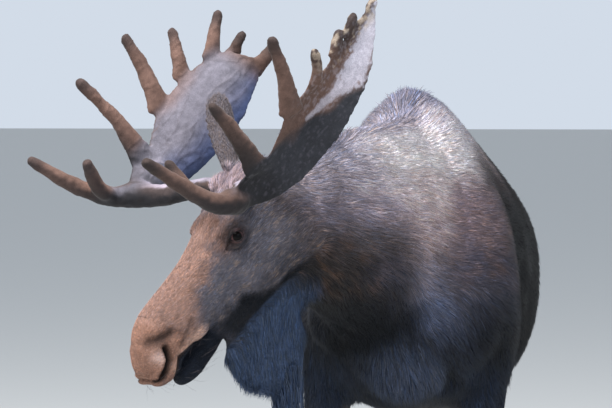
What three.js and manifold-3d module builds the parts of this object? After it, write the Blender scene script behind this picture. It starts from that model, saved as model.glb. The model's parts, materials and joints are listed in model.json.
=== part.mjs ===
// A bull moose, standing square with its head turned to its right and lowered.
// Millimetres, +Z up. The animal faces -Y and its left side is +X.
// Every solid reaches out to the tips of the coat.

import * as THREE from 'three';
import { mergeVertices } from 'three/addons/utils/BufferGeometryUtils.js';
import Module from 'manifold-3d';

const wasm = await Module();
wasm.setup();

// ---- driving dimensions -------------------------------------------------

const GAP = 0.3; // clear space kept between neighbouring pieces
const SEAT_SHIFT = 1.8 * GAP; // how far flesh is moved each way when it cuts a piece

// Corners in one ring of each kind of body, and rings along each kind of rod.
const RING = {
  trunk: 18, neck: 14, skull: 16, jaw: 10, leg: 10, toe: 8, ear: 8, fold: 10, beam: 9, palm: 11, tine: 6,
};
const STEPS = { beam: 6, tine: 5, ear: 5 };
const BALL = { eye: [10, 6], brow: [9, 6], brisket: [10, 6], dewclaw: [6, 5] }; // sectors, then bands

// The hump's ridge is over the point x = 0, y = 0 while the parts are worked out.
// These two shifts then put the origin under the middle of the whole animal.
const SHIFT_X = 346;
const SHIFT_Y = -87;

// Head: its frame sits midway between the eyes.
const HEAD_PLACE = [-484, -727, 1451];
const HEAD_TURN = 55; // degrees to the animal's right of straight ahead
const HEAD_DROP = 47.5; // degrees that the nose points below level
const EYE_SPREAD = 104; // from the middle plane to the eye's centre
const EYE_RADIUS = 20;

// Legs
const FORE_SPREAD = 220; // from the middle plane to a foreleg
const HIND_SPREAD = 142;
const TOE_SPREAD = 30; // from a leg's middle to each of its two toes
const SOLE_LEVEL = 0;

// Trunk, station by station along y: back line, belly line, half-width,
// level of the widest point, and how square the section is above and below it.
const TRUNK = [
  { y: -335, top: 1285, belly: 1105, half: 55, level: 1190, over: 2.0, under: 2.0 },
  { y: -300, top: 1400, belly: 1025, half: 140, level: 1190, over: 2.0, under: 2.0 },
  { y: -210, top: 1590, belly: 965, half: 225, level: 1200, over: 1.9, under: 2.1 },
  { y: -100, top: 1764, belly: 925, half: 280, level: 1200, over: 1.85, under: 2.2 },
  { y: 0, top: 1850, belly: 902, half: 314, level: 1190, over: 1.8, under: 2.3 },
  { y: 130, top: 1846, belly: 888, half: 328, level: 1190, over: 1.8, under: 2.3 },
  { y: 280, top: 1788, belly: 876, half: 344, level: 1225, over: 1.9, under: 2.3 },
  { y: 480, top: 1712, belly: 868, half: 352, level: 1250, over: 2.05, under: 2.3 },
  { y: 680, top: 1658, belly: 880, half: 350, level: 1280, over: 2.1, under: 2.3 },
  { y: 880, top: 1622, belly: 925, half: 328, level: 1290, over: 2.1, under: 2.2 },
  { y: 1040, top: 1590, belly: 985, half: 296, level: 1290, over: 1.9, under: 2.1 },
  { y: 1180, top: 1530, belly: 1045, half: 262, level: 1290, over: 1.85, under: 2.1 },
  { y: 1290, top: 1445, belly: 1110, half: 205, level: 1285, over: 1.9, under: 2.0 },
  { y: 1355, top: 1365, belly: 1180, half: 130, level: 1275, over: 2.0, under: 2.0 },
  { y: 1385, top: 1310, belly: 1235, half: 50, level: 1270, over: 2.0, under: 2.0 },
];

// Neck: place of the middle, then half-width and reach above and below it.
const NECK = [
  { at: [3, 80, 1390], half: 235, up: 400, down: 380, over: 1.6, under: 2.0 },
  { at: [-35, -129, 1395], half: 242, up: 385, down: 370, over: 1.65, under: 2.0 },
  { at: [-98, -297, 1410], half: 205, up: 356, down: 300, over: 1.7, under: 2.0 },
  { at: [-193, -439, 1440], half: 168, up: 316, down: 232, over: 1.8, under: 2.0 },
  { at: [-287, -543, 1478], half: 140, up: 226, down: 180, over: 1.9, under: 2.0 },
  { at: [-364, -628, 1512], half: 122, up: 148, down: 150, over: 2.0, under: 2.0 },
  { at: [-416, -686, 1530], half: 100, up: 108, down: 110, over: 2.0, under: 2.0 },
];

// Head, station by station along its own axis from nape to nose: forehead and
// bridge line, underside of the skull and upper lip, half-width and widest level.
const SKULL = [
  { f: -262, top: 20, low: -130, half: 60, level: -40, over: 2.0, under: 2.0 },
  { f: -240, top: 68, low: -205, half: 98, level: -50, over: 2.0, under: 2.0 },
  { f: -195, top: 90, low: -242, half: 106, level: -50, over: 2.2, under: 2.1 },
  { f: -130, top: 86, low: -256, half: 106, level: -30, over: 2.4, under: 2.1 },
  { f: -60, top: 76, low: -248, half: 108, level: -10, over: 2.6, under: 1.9 },
  { f: 0, top: 66, low: -222, half: 110, level: 0, over: 2.7, under: 1.8 },
  { f: 60, top: 55, low: -192, half: 98, level: -20, over: 2.4, under: 1.9 },
  { f: 130, top: 46, low: -166, half: 82, level: -35, over: 2.2, under: 2.0 },
  { f: 210, top: 43, low: -148, half: 75, level: -50, over: 2.1, under: 2.2 },
  { f: 290, top: 43, low: -142, half: 76, level: -62, over: 2.1, under: 2.4 },
  { f: 345, top: 36, low: -144, half: 84, level: -68, over: 2.2, under: 2.4 },
  { f: 395, top: 8, low: -147, half: 86, level: -76, over: 2.3, under: 2.4 },
  { f: 436, top: -32, low: -142, half: 74, level: -90, over: 2.2, under: 2.2 },
  { f: 456, top: -62, low: -128, half: 46, level: -98, over: 2.0, under: 2.0 },
];

// The bony ridge over each eye.
const BROW = { at: [2, 86, 36], size: [44, 28, 26] };

// Lower jaw and chin, under the skull's front half.
const JAW = [
  { at: [-60, 0, -190], half: 70, up: 40, down: 62, over: 2, under: 2 },
  { at: [30, 0, -172], half: 72, up: 40, down: 44, over: 2, under: 2 },
  { at: [120, 0, -160], half: 62, up: 40, down: 42, over: 2, under: 2 },
  { at: [210, 0, -152], half: 52, up: 30, down: 60, over: 2, under: 2 },
  { at: [290, 0, -160], half: 46, up: 25, down: 58, over: 2, under: 2 },
  { at: [345, 0, -172], half: 46, up: 30, down: 49, over: 2, under: 2 },
  { at: [384, 0, -176], half: 34, up: 26, down: 32, over: 2, under: 2 },
  { at: [400, 0, -172], half: 14, up: 12, down: 14, over: 2, under: 2 },
];

// Foreleg and hind leg: place with x measured from the leg's own line,
// half-width across, and reach forward and back.
const FORELEG = [
  { at: [-40, 70, 1600], half: 40, up: 80, down: 80 },
  { at: [10, 45, 1480], half: 66, up: 140, down: 125 },
  { at: [34, 5, 1320], half: 76, up: 175, down: 150 },
  { at: [36, -15, 1180], half: 86, up: 160, down: 165 },
  { at: [14, 20, 1050], half: 88, up: 115, down: 140 },
  { at: [2, 38, 930], half: 80, up: 92, down: 98 },
  { at: [0, 40, 800], half: 66, up: 70, down: 74 },
  { at: [0, 34, 670], half: 52, up: 52, down: 52 },
  { at: [0, 26, 560], half: 50, up: 50, down: 50 },
  { at: [0, 28, 480], half: 42, up: 42, down: 44 },
  { at: [0, 34, 360], half: 33, up: 36, down: 40 },
  { at: [0, 38, 240], half: 35, up: 38, down: 42 },
  { at: [0, 34, 170], half: 43, up: 44, down: 52 },
  { at: [0, 12, 112], half: 41, up: 42, down: 44 },
  { at: [0, -12, 72], half: 45, up: 46, down: 48 },
];
const HIND_LEG = [
  { at: [-60, 1100, 1470], half: 50, up: 90, down: 90 },
  { at: [-10, 1105, 1360], half: 86, up: 165, down: 160 },
  { at: [12, 1100, 1220], half: 102, up: 205, down: 200 },
  { at: [18, 1090, 1080], half: 100, up: 200, down: 195 },
  { at: [14, 1095, 960], half: 86, up: 165, down: 150 },
  { at: [6, 1150, 840], half: 68, up: 120, down: 104 },
  { at: [0, 1218, 730], half: 50, up: 78, down: 76 },
  { at: [0, 1262, 640], half: 44, up: 62, down: 64 },
  { at: [0, 1262, 550], half: 39, up: 48, down: 52 },
  { at: [0, 1250, 430], half: 32, up: 38, down: 40 },
  { at: [0, 1240, 290], half: 32, up: 38, down: 40 },
  { at: [0, 1230, 185], half: 41, up: 44, down: 50 },
  { at: [0, 1204, 118], half: 39, up: 42, down: 42 },
  { at: [0, 1180, 74], half: 43, up: 46, down: 46 },
];
// How far each foot stands from the square stance, along y.
const STANCE = { fore_left: 20, fore_right: -25, hind_left: -110, hind_right: 50 };
// How far each leg stands out from the square stance below the elbow or stifle.
const SPLAY = { fore_left: -8, fore_right: 30, hind_left: 0, hind_right: 0 };

// Antlers, in the head's frame for the left side: forward, sideways, up.
const BEAM = {
  path: [[-128, 62, 38], [-112, 100, 66], [-78, 165, 92], [-34, 232, 118], [-6, 300, 150]],
  radii: [31, 33, 29, 32, 40],
  ends: 262, // sideways distance where the beam passes into the two forks
};
const FORK_AT = -25; // forward place of the cut between brow and palm
// The palm is a cupped blade between its lower back edge and the line of its notches.
const PALM = [
  { low: [30, 296, 116], high: [16, 318, 190], thick: 34 },
  { low: [-80, 312, 72], high: [-62, 352, 196], thick: 24 },
  { low: [-165, 326, 46], high: [-140, 374, 190], thick: 17 },
  { low: [-270, 337, 44], high: [-235, 392, 226], thick: 13 },
  { low: [-372, 347, 58], high: [-330, 398, 236], thick: 12 },
  { low: [-505, 361, 102], high: [-440, 388, 230], thick: 12 },
];
// The last rows of each palm, past the table above.
const PALM_END = {
  left: [
    { low: [-600, 396, 162], high: [-545, 388, 238], thick: 11 },
    { low: [-658, 402, 218], high: [-642, 392, 244], thick: 9 },
  ],
  right: [
    { low: [-572, 318, 118], high: [-524, 366, 200], thick: 12 },
  ],
};
const PALM_CUP = 26; // depth of the bow across a palm of the half-height below
const PALM_CUP_AT = 90;
const PALM_EDGE = 2.6; // how square the palm's edges are
// Past its last point a tine runs on by a share of its last span, and ends at a
// share of its last radius.
const TINE_TIP = { beyond: 0.06, radius: 0.6 };
// How far the rear end of each palm's lower edge stands off the table above.
const PALM_REAR = { left: [-6, 32, 2], right: [-22, -46, -26] };
const BROW_TINES = {
  left: [
    { path: [[-16, 300, 150], [46, 326, 200], [90, 348, 318], [119, 359, 452]], radii: [42, 30, 24, 17] },
    { path: [[40, 318, 196], [66, 290, 270], [44, 255, 356]], radii: [25, 24, 17] },
  ],
  right: [
    { path: [[-16, 300, 150], [46, 326, 200], [96, 352, 306], [128, 368, 446]], radii: [42, 30, 24, 17] },
    { path: [[40, 318, 196], [66, 290, 262], [48, 262, 348]], radii: [25, 24, 17] },
  ],
};
const PALM_TINES = {
  left: [
    { path: [[-92, 356, 172], [-108, 394, 310], [-112, 411, 424]], radii: [34, 24, 16] },
    { path: [[-262, 392, 214], [-318, 422, 320], [-356, 446, 424]], radii: [34, 22, 16] },
    { path: [[-362, 396, 214], [-404, 418, 256], [-428, 432, 298]], radii: [22, 16, 14] },
    { path: [[-470, 386, 222], [-506, 388, 246], [-536, 390, 262]], radii: [18, 15, 13] },
    { path: [[-545, 388, 224], [-572, 394, 250], [-600, 398, 260]], radii: [15, 15, 12] },
    { path: [[-630, 394, 224], [-652, 398, 237], [-672, 400, 242]], radii: [15, 15, 14] },
  ],
  right: [
    { path: [[-104, 350, 160], [-146, 382, 318], [-152, 402, 470]], radii: [38, 22, 16] },
    { path: [[-262, 392, 214], [-322, 424, 322], [-362, 446, 432]], radii: [34, 24, 16] },
    { path: [[-375, 395, 222], [-437, 424, 284], [-476, 440, 334]], radii: [29, 21, 16] },
    { path: [[-470, 372, 206], [-548, 384, 250], [-602, 391, 277]], radii: [27, 20, 16] },
    { path: [[-531, 364, 168], [-576, 358, 184], [-598, 354, 190]], radii: [23, 16, 14] },
    { path: [[-530, 334, 104], [-596, 322, 100], [-640, 314, 110]], radii: [28, 21, 16] },
  ],
};

// Ears: root, bend, tip, and the half-width of the widest place.
const EAR = {
  left: { root: [-176, 84, 34], bend: [-244, 158, 42], tip: [-336, 204, 20], wide: 52 },
  right: { root: [-182, 78, 52], bend: [-262, 122, 128], tip: [-345, 152, 212], wide: 52 },
};

// The leaf of an ear: half-width as a share of the widest at its root, how fast it
// swells, how far it closes at the tip, the largest share that these give, and
// the half-thickness at root and tip.
const EAR_LEAF = { root: 0.5, swell: 1.35, close: 0.985, most: 1.12, thick: 24, thin: 12 };

// The long-haired bulge of the breast between the forelegs.
const BRISKET = { at: [8, -262, 1040], size: [135, 82, 112] };

// Bell: the hanging fold of the throat, from the throat down to its long strand.
const BELL = [
  { at: [-357, -628, 1350], half: 62, up: 165, down: 150 },
  { at: [-357, -628, 1240], half: 54, up: 186, down: 140 },
  { at: [-352, -628, 1150], half: 47, up: 208, down: 178 },
  { at: [-340, -621, 1080], half: 40, up: 184, down: 152 },
  { at: [-317, -607, 1020], half: 33, up: 92, down: 122 },
  { at: [-302, -598, 955], half: 24, up: 30, down: 34 },
  { at: [-297, -595, 895], half: 15, up: 17, down: 18 },
  { at: [-296, -594, 855], half: 6, up: 7, down: 7 },
];
const BELL_FORWARD = [-0.61, -0.79, 0];

const TAIL = [
  { at: [0, 1330, 1340], half: 34, up: 26, down: 26 },
  { at: [0, 1378, 1322], half: 36, up: 28, down: 28 },
  { at: [0, 1412, 1272], half: 34, up: 26, down: 24 },
  { at: [0, 1424, 1215], half: 26, up: 20, down: 18 },
  { at: [0, 1426, 1172], half: 10, up: 9, down: 8 },
];

// One toe, from its sole up to the coronet: height, half-width, reach forward
// and back from the middle of the foot.
const TOE = [
  { z: 0, half: 27, up: 88, down: 58, lean: -6 },
  { z: 26, half: 28, up: 82, down: 60, lean: -3 },
  { z: 58, half: 27, up: 56, down: 54, lean: 2 },
  { z: 92, half: 22, up: 30, down: 40, lean: 12 },
];
const TOE_SQUARE = { over: 1.5, under: 2.4 }; // pointed in front, square at the heel
const TOE_AHEAD = 14; // how far the toe's middle stands ahead of the leg's last row
const LEG_ENDS = 66; // height where the hair stops and the hoof begins
const DEWCLAW = { out: 24, back: 56, z: 128, size: [13, 17, 30], tilt: -25 };
const DEWCLAW_OFF = 0.4; // how far a dewclaw stands off the leg behind it

// Where the flesh is parted.
const ELBOW_CUT = 985;
const STIFLE_CUT = 1010;
const FORE_KNEE_CUT = 560;
const HOCK_CUT = 640;
const NECK_CUT = { point: [-45, -190, 1400], normal: [-0.22, -0.9, 0.36] };
const NAPE_CUT = { point: [-165, 0, -60], normal: [1, 0, 0.235] };
// The block that holds a whole leg: nearest distance from the middle plane, and reach
// along y. The far side and the underside of every block lie well outside the body.
const LEG_BLOCK = { fore: { inner: 95, y: [-190, 240] }, hind: { inner: 24, y: [850, 1420] } };
const BLOCK_FAR = 600;
const BLOCK_BELOW = -50;
const HIP_LEVEL = 1150; // height above which a leg doesn't swing
const SPLAY_LEVEL = 950; // height below which a leg has its whole splay

// ---- helpers ------------------------------------------------------------

const UPWARD = [0, 0, 1];
const SIDES = [['left', 1], ['right', -1]];
const V = (a) => new THREE.Vector3(...a);
const rad = THREE.MathUtils.degToRad;

// A value of a smooth curve through equal-spaced numbers.
function between(values, t) {
  const last = values.length - 1;
  const i = Math.min(Math.floor(t), last - 1);
  const u = t - i;
  const pick = (k) => values[Math.max(0, Math.min(last, k))];
  const [a, b, c, d] = [pick(i - 1), pick(i), pick(i + 1), pick(i + 2)];
  const m0 = (c - a) / 2;
  const m1 = (d - b) / 2;
  const u2 = u * u;
  const u3 = u2 * u;
  return (2 * u3 - 3 * u2 + 1) * b + (u3 - 2 * u2 + u) * m0 + (3 * u2 - 2 * u3) * c + (u3 - u2) * m1;
}

// Point of a super-ellipse: c and s are the angle's cosine and sine.
const squared = (c, n) => Math.sign(c) * Math.abs(c) ** (2 / n);

// A closed skin over rings of points, with a point in the middle of each end.
function skinOf(rings) {
  const n = rings[0].length;
  const pos = rings.flat().flatMap((p) => [p.x, p.y, p.z]);
  const middle = (ring) => ring.reduce((m, p) => m.add(p), new THREE.Vector3()).divideScalar(n);
  const a = rings.length * n;
  pos.push(...middle(rings[0]).toArray(), ...middle(rings[rings.length - 1]).toArray());
  const index = [];
  for (let i = 0; i < n; i += 1) {
    const j = (i + 1) % n;
    index.push(a, j, i);
    const e = (rings.length - 1) * n;
    index.push(a + 1, e + i, e + j);
    for (let k = 0; k < rings.length - 1; k += 1) {
      const o = k * n;
      index.push(o + i, o + j, o + n + j, o + i, o + n + j, o + n + i);
    }
  }
  const g = new THREE.BufferGeometry();
  g.setAttribute('position', new THREE.Float32BufferAttribute(pos, 3));
  g.setIndex(index);
  return g;
}

// A section carried along a path. At each row the ring is square to the path,
// up is its reach towards the upward direction and down its reach away from it.
function loft(rows, upward, sides) {
  const places = rows.map((r) => V(r.at));
  const rings = rows.map((r, i) => {
    const ahead = places[Math.min(i + 1, rows.length - 1)];
    const behind = places[Math.max(i - 1, 0)];
    const along = ahead.clone().sub(behind).normalize();
    const side = along.clone().cross(V(upward)).normalize();
    const up = side.clone().cross(along).normalize();
    const ring = [];
    for (let k = 0; k < sides; k += 1) {
      const angle = (2 * Math.PI * k) / sides;
      const c = Math.cos(angle);
      const s = Math.sin(angle);
      const n = (s >= 0 ? r.over : r.under) ?? 2;
      const reach = s >= 0 ? r.up : r.down;
      ring.push(places[i].clone()
        .addScaledVector(side, r.half * squared(c, n))
        .addScaledVector(up, reach * squared(s, n)));
    }
    return ring;
  });
  return skinOf(rings);
}

// A rounded rod whose thickness runs through a list of radii, along a smooth path.
function rod(points, radii, steps, sides, upward) {
  const curve = new THREE.CatmullRomCurve3(points.map(V));
  const rows = [];
  for (let i = 0; i <= steps; i += 1) {
    const t = i / steps;
    const r = between(radii, t * (radii.length - 1));
    rows.push({ at: curve.getPoint(t).toArray(), half: r, up: r, down: r });
  }
  return loft(rows, upward, sides);
}

function ball(place, radii, [sectors, bands]) {
  const g = new THREE.SphereGeometry(1, sectors, bands);
  g.scale(...radii);
  g.translate(...place);
  return g;
}

// ---- joining and cutting ------------------------------------------------

function solid(geometry) {
  const bare = geometry.clone();
  for (const name of Object.keys(bare.attributes)) {
    if (name !== 'position') bare.deleteAttribute(name);
  }
  const merged = mergeVertices(bare, 1e-3);
  const body = new wasm.Manifold(new wasm.Mesh({
    numProp: 3,
    vertProperties: new Float32Array(merged.attributes.position.array),
    triVerts: new Uint32Array(merged.index.array),
  }));
  return body.volume() < 0 ? turned(merged) : body;
}

function turned(merged) {
  const order = Array.from(merged.index.array);
  for (let i = 0; i < order.length; i += 3) {
    [order[i], order[i + 1]] = [order[i + 1], order[i]];
  }
  return new wasm.Manifold(new wasm.Mesh({
    numProp: 3,
    vertProperties: new Float32Array(merged.attributes.position.array),
    triVerts: new Uint32Array(order),
  }));
}

const join = (list) => list.reduce((whole, piece) => whole.add(piece));

const WELD = 0.02; // points nearer than this are made one

function toGeometry(body) {
  const mesh = body.getMesh();
  const g = new THREE.BufferGeometry();
  g.setAttribute('position', new THREE.Float32BufferAttribute(new Float32Array(mesh.vertProperties), 3));
  g.setIndex(Array.from(mesh.triVerts));
  const welded = mergeVertices(g, WELD);
  const index = [];
  for (let i = 0; i < welded.index.count; i += 3) {
    const [p, q, r] = [0, 1, 2].map((k) => welded.index.getX(i + k));
    if (p !== q && q !== r && r !== p) index.push(p, q, r);
  }
  welded.setIndex(index);
  return welded;
}

// ---- the head's own frame: x forward to the nose, y to its left, z up its brow

const headFrame = new THREE.Matrix4().makeTranslation(...HEAD_PLACE)
  .multiply(new THREE.Matrix4().makeRotationZ(rad(-90 - HEAD_TURN)))
  .multiply(new THREE.Matrix4().makeRotationY(rad(HEAD_DROP)));

const onHead = (geometry) => geometry.applyMatrix4(headFrame);

// ---- flesh --------------------------------------------------------------

// Rings that stand square across one axis: place gives each point of a ring.
function uprightRings(rows, sides, place) {
  return rows.map((r) => {
    const ring = [];
    for (let k = 0; k < sides; k += 1) {
      const angle = (2 * Math.PI * k) / sides;
      const c = Math.cos(angle);
      const s = Math.sin(angle);
      const n = s >= 0 ? r.over : r.under;
      ring.push(place(r, squared(c, n), squared(s, n), s >= 0));
    }
    return ring;
  });
}

function trunkShape() {
  const place = (r, across, rise, above) => V([
    -r.half * across,
    r.y,
    r.level + rise * (above ? r.top - r.level : r.level - r.belly),
  ]);
  return skinOf(uprightRings(TRUNK, RING.trunk, place));
}

function skullShape() {
  const place = (r, across, rise, above) => V([
    r.f,
    -r.half * across,
    r.level + rise * (above ? r.top - r.level : r.level - r.low),
  ]);
  return skinOf(uprightRings(SKULL, RING.skull, place));
}

function headShape() {
  const pieces = [solid(skullShape()), solid(loft(JAW, UPWARD, RING.jaw))];
  for (const side of [-1, 1]) {
    const [f, s, u] = BROW.at;
    pieces.push(solid(ball([f, s * side, u], BROW.size, BALL.brow)));
  }
  return solid(onHead(toGeometry(join(pieces))));
}

function legShape(table, spread, side, stride, splay) {
  const rows = table.map((r) => {
    const [x, y, z] = r.at;
    const swing = stride * THREE.MathUtils.clamp((HIP_LEVEL - z) / HIP_LEVEL, 0, 1);
    const outward = splay * THREE.MathUtils.clamp((HIP_LEVEL - z) / (HIP_LEVEL - SPLAY_LEVEL), 0, 1);
    return { ...r, at: [side * (spread + x + outward), y + swing, z] };
  });
  return solid(loft(rows, [0, -1, 0], RING.leg));
}

function footPlace(table, spread, side, stride) {
  const end = table[table.length - 1].at;
  return [side * spread, end[1] + stride];
}

// A toe is a loft that stands on its flat sole and leans in to the coronet.
function toeShape([x, y], out) {
  const rows = TOE.map((r) => ({ ...r, ...TOE_SQUARE }));
  const rings = uprightRings(rows, RING.toe, (r, across, rise, above) => V([
    x + out * TOE_SPREAD + r.half * across,
    y + r.lean - TOE_AHEAD - rise * (above ? r.up : r.down),
    SOLE_LEVEL + r.z,
  ]));
  return solid(skinOf(rings));
}

function dewclawShape([x, y], out) {
  const { out: spread, back, z, size, tilt } = DEWCLAW;
  const g = ball([0, 0, 0], size, BALL.dewclaw);
  g.rotateX(rad(tilt));
  g.translate(x + out * spread, y + back, z);
  return solid(g);
}

// A leaf-shaped ear: a thin cupped blade that is widest a third of the way up.
function earShape(ear, side) {
  const curve = new THREE.CatmullRomCurve3([ear.root, ear.bend, ear.tip]
    .map(([f, s, u]) => new THREE.Vector3(f, s * side, u)));
  const { root, swell, close, most, thick, thin } = EAR_LEAF;
  const rows = [];
  for (let i = 0; i <= STEPS.ear; i += 1) {
    const t = i / STEPS.ear;
    const half = ear.wide * (root + swell * t) * Math.sqrt(1 - close * t * t) / most;
    const depth = thick + (thin - thick) * t;
    rows.push({ at: curve.getPoint(t).toArray(), half, up: depth, down: depth });
  }
  return solid(onHead(loft(rows, [0, side, 0], RING.ear)));
}

// ---- antlers ------------------------------------------------------------

const onSide = (points, side) => points.map(([f, s, u]) => [f, s * side, u]);

function beamShape(side, grown) {
  const radii = BEAM.radii.map((r) => r + grown);
  return solid(onHead(rod(onSide(BEAM.path, side), radii, STEPS.beam, RING.beam, UPWARD)));
}

// The palm: flat rings from the lower edge to the upper one, bowed to a cup.
function palmShape(name, side) {
  const rows = [...PALM, ...PALM_END[name]].map(({ low, high, thick }, row) => {
    const share = row < PALM.length ? THREE.MathUtils.smoothstep(row, 1, PALM.length - 1) : 0;
    const edge = V(low).addScaledVector(V(PALM_REAR[name]), share);
    const middle = edge.clone().add(V(high)).divideScalar(2);
    const across = V(high).sub(edge).divideScalar(2);
    const mirror = new THREE.Vector3(1, side, 1);
    return { middle: middle.multiply(mirror), across: across.multiply(mirror), thick };
  });
  const rings = rows.map(({ middle, across, thick }, i) => {
    const next = rows[Math.min(i + 1, rows.length - 1)].middle;
    const last = rows[Math.max(i - 1, 0)].middle;
    const along = next.clone().sub(last);
    const normal = across.clone().cross(along).normalize().multiplyScalar(side);
    const ring = [];
    for (let k = 0; k < RING.palm; k += 1) {
      const angle = (2 * Math.PI * k) / RING.palm;
      const c = Math.cos(angle);
      const cup = PALM_CUP * (1 - c * c) * (across.length() / PALM_CUP_AT);
      ring.push(middle.clone()
        .addScaledVector(across, c)
        .addScaledVector(normal, (thick / 2) * squared(Math.sin(angle), PALM_EDGE) + cup));
    }
    return ring;
  });
  return solid(onHead(skinOf(rings)));
}

function tineShape({ path, radii }, side) {
  const last = path[path.length - 1];
  const before = path[path.length - 2];
  const tip = last.map((v, i) => v + (v - before[i]) * TINE_TIP.beyond);
  const allRadii = [...radii, radii[radii.length - 1] * TINE_TIP.radius];
  return solid(onHead(rod(onSide([...path, tip], side), allRadii, STEPS.tine, RING.tine, [0, side, 0])));
}

function antlerPieces(name, side) {
  const away = new THREE.Vector3(0, side, 0).transformDirection(headFrame);
  const out = headPoint([0, side * BEAM.ends, 0]);
  const beam = trim(beamShape(side, 0), away.clone().negate(), out, GAP / 2);
  const beamGrown = trim(beamShape(side, GAP), away.clone().negate(), out, -GAP / 2);
  const hand = join([
    trim(beamShape(side, 0), away, out, GAP / 2),
    palmShape(name, side),
    ...BROW_TINES[name].map((t) => tineShape(t, side)),
    ...PALM_TINES[name].map((t) => tineShape(t, side)),
  ]).subtract(beamGrown);
  const ahead = new THREE.Vector3(1, 0, 0).transformDirection(headFrame);
  const fork = headPoint([FORK_AT, 0, 0]);
  return {
    beam,
    brow: trim(hand, ahead, fork, GAP / 2),
    palm: trim(hand, ahead.clone().negate(), fork, GAP / 2),
    socket: beamGrown,
  };
}

// ---- the whole animal, parted -------------------------------------------

const headPoint = (p) => V(p).applyMatrix4(headFrame);

// The part of a body on the side that the direction points to, a clear
// distance away from the plane through the point.
function trim(body, direction, point, clear) {
  const n = direction.clone().normalize();
  return body.trimByPlane(n.toArray(), n.dot(point) + clear);
}

// The largest body of a cut shape: crumbs that a cut leaves behind are dropped.
function largest(body) {
  return body.decompose().reduce((best, b) => (b.volume() > best.volume() ? b : best));
}

function block(low, high) {
  const size = high.map((v, i) => v - low[i]);
  const g = new THREE.BoxGeometry(...size);
  g.translate(...low.map((v, i) => v + size[i] / 2));
  return solid(g);
}

const pieces = {};

// Head and neck are joined, then parted behind the poll.
const eyeAt = (side) => headPoint([0, side * EYE_SPREAD, 0]);
const headAndNeck = join([headShape(), solid(loft(NECK, UPWARD, RING.neck))]);
const napeWay = V(NAPE_CUT.normal).transformDirection(headFrame);
const nape = headPoint(NAPE_CUT.point);
let head = trim(headAndNeck, napeWay, nape, GAP / 2);
const neckAlone = trim(headAndNeck, napeWay.clone().negate(), nape, GAP / 2);

for (const [name, side] of SIDES) {
  const place = eyeAt(side).toArray();
  const eyeBall = (radius) => solid(ball(place, [radius, radius, radius], BALL.eye));
  head = head.subtract(eyeBall(EYE_RADIUS + GAP));
  pieces[`eye_${name}`] = eyeBall(EYE_RADIUS);
  const antler = antlerPieces(name, side);
  head = head.subtract(antler.socket);
  pieces[`antler_${name}_beam`] = antler.beam;
  pieces[`antler_${name}_brow`] = antler.brow;
  pieces[`antler_${name}_palm`] = antler.palm;
}

// Trunk, neck and legs are joined, then parted at shoulder, elbow and knee.
const legs = {
  fore: { table: FORELEG, spread: FORE_SPREAD, top: ELBOW_CUT, knee: FORE_KNEE_CUT },
  hind: { table: HIND_LEG, spread: HIND_SPREAD, top: STIFLE_CUT, knee: HOCK_CUT },
};
const limbs = [];
for (const [end, leg] of Object.entries(legs)) {
  for (const [name, side] of SIDES) {
    const foot = `${end}_${name}`;
    limbs.push(legShape(leg.table, leg.spread, side, STANCE[foot], SPLAY[foot]));
  }
}
const brisket = solid(ball(BRISKET.at, BRISKET.size, BALL.brisket));
let torso = join([solid(trunkShape()), neckAlone, brisket, ...limbs]);
const neckWay = V(NECK_CUT.normal);
pieces.neck = trim(torso, neckWay, V(NECK_CUT.point), GAP / 2);
torso = trim(torso, neckWay.clone().negate(), V(NECK_CUT.point), GAP / 2);

for (const [end, leg] of Object.entries(legs)) {
  for (const [name, side] of SIDES) {
    const stance = STANCE[`${end}_${name}`];
    const { inner, y } = LEG_BLOCK[end];
    const xs = [side * inner, side * BLOCK_FAR].sort((a, b) => a - b);
    const region = (grow, low, high) => block(
      [xs[0] - grow, y[0] + stance - grow, low - grow],
      [xs[1] + grow, y[1] + stance + grow, high + grow],
    );
    const half = GAP / 2;
    pieces[`${end}leg_${name}_upper`] = torso.intersect(region(-half, leg.knee, leg.top));
    pieces[`${end}leg_${name}_lower`] = torso.intersect(region(-half, LEG_ENDS, leg.knee));
    torso = torso.subtract(region(half, BLOCK_BELOW, leg.top));
    const foot = footPlace(leg.table, leg.spread + SPLAY[`${end}_${name}`], side, stance);
    for (const [toe, out] of [['inner', -side], ['outer', side]]) {
      const below = trim(toeShape(foot, out), V([0, 0, -1]), V([0, 0, LEG_ENDS]), GAP / 2);
      pieces[`hoof_${end}_${name}_${toe}`] = below;
      pieces[`dewclaw_${end}_${name}_${toe}`] = dewclawShape(foot, out)
        .subtract(pieces[`${end}leg_${name}_lower`])
        .translate([0, DEWCLAW_OFF, 0]);
    }
  }
}
pieces.trunk = torso;

// Pieces that grow out of the flesh are cut by it. The flesh is moved a little
// each way for the cut, so that the seat keeps its gap whichever way it slants.
function cutClear(body, flesh) {
  const ways = [[0, 0, 0]];
  for (const axis of [0, 1, 2]) {
    for (const way of [-SEAT_SHIFT, SEAT_SHIFT]) {
      const shift = [0, 0, 0];
      shift[axis] = way;
      ways.push(shift);
    }
  }
  return largest(ways.reduce((rest, way) => rest.subtract(flesh.translate(way)), body));
}
const headNeck = join([head, pieces.neck]);
pieces.bell = cutClear(solid(loft(BELL, BELL_FORWARD, RING.fold)), headNeck);
pieces.tail = cutClear(solid(loft(TAIL, UPWARD, RING.fold)), torso);
for (const [name, side] of SIDES) {
  pieces[`ear_${name}`] = cutClear(earShape(EAR[name], side), headNeck);
}
pieces.head = head;

// ---- nodes --------------------------------------------------------------

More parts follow.
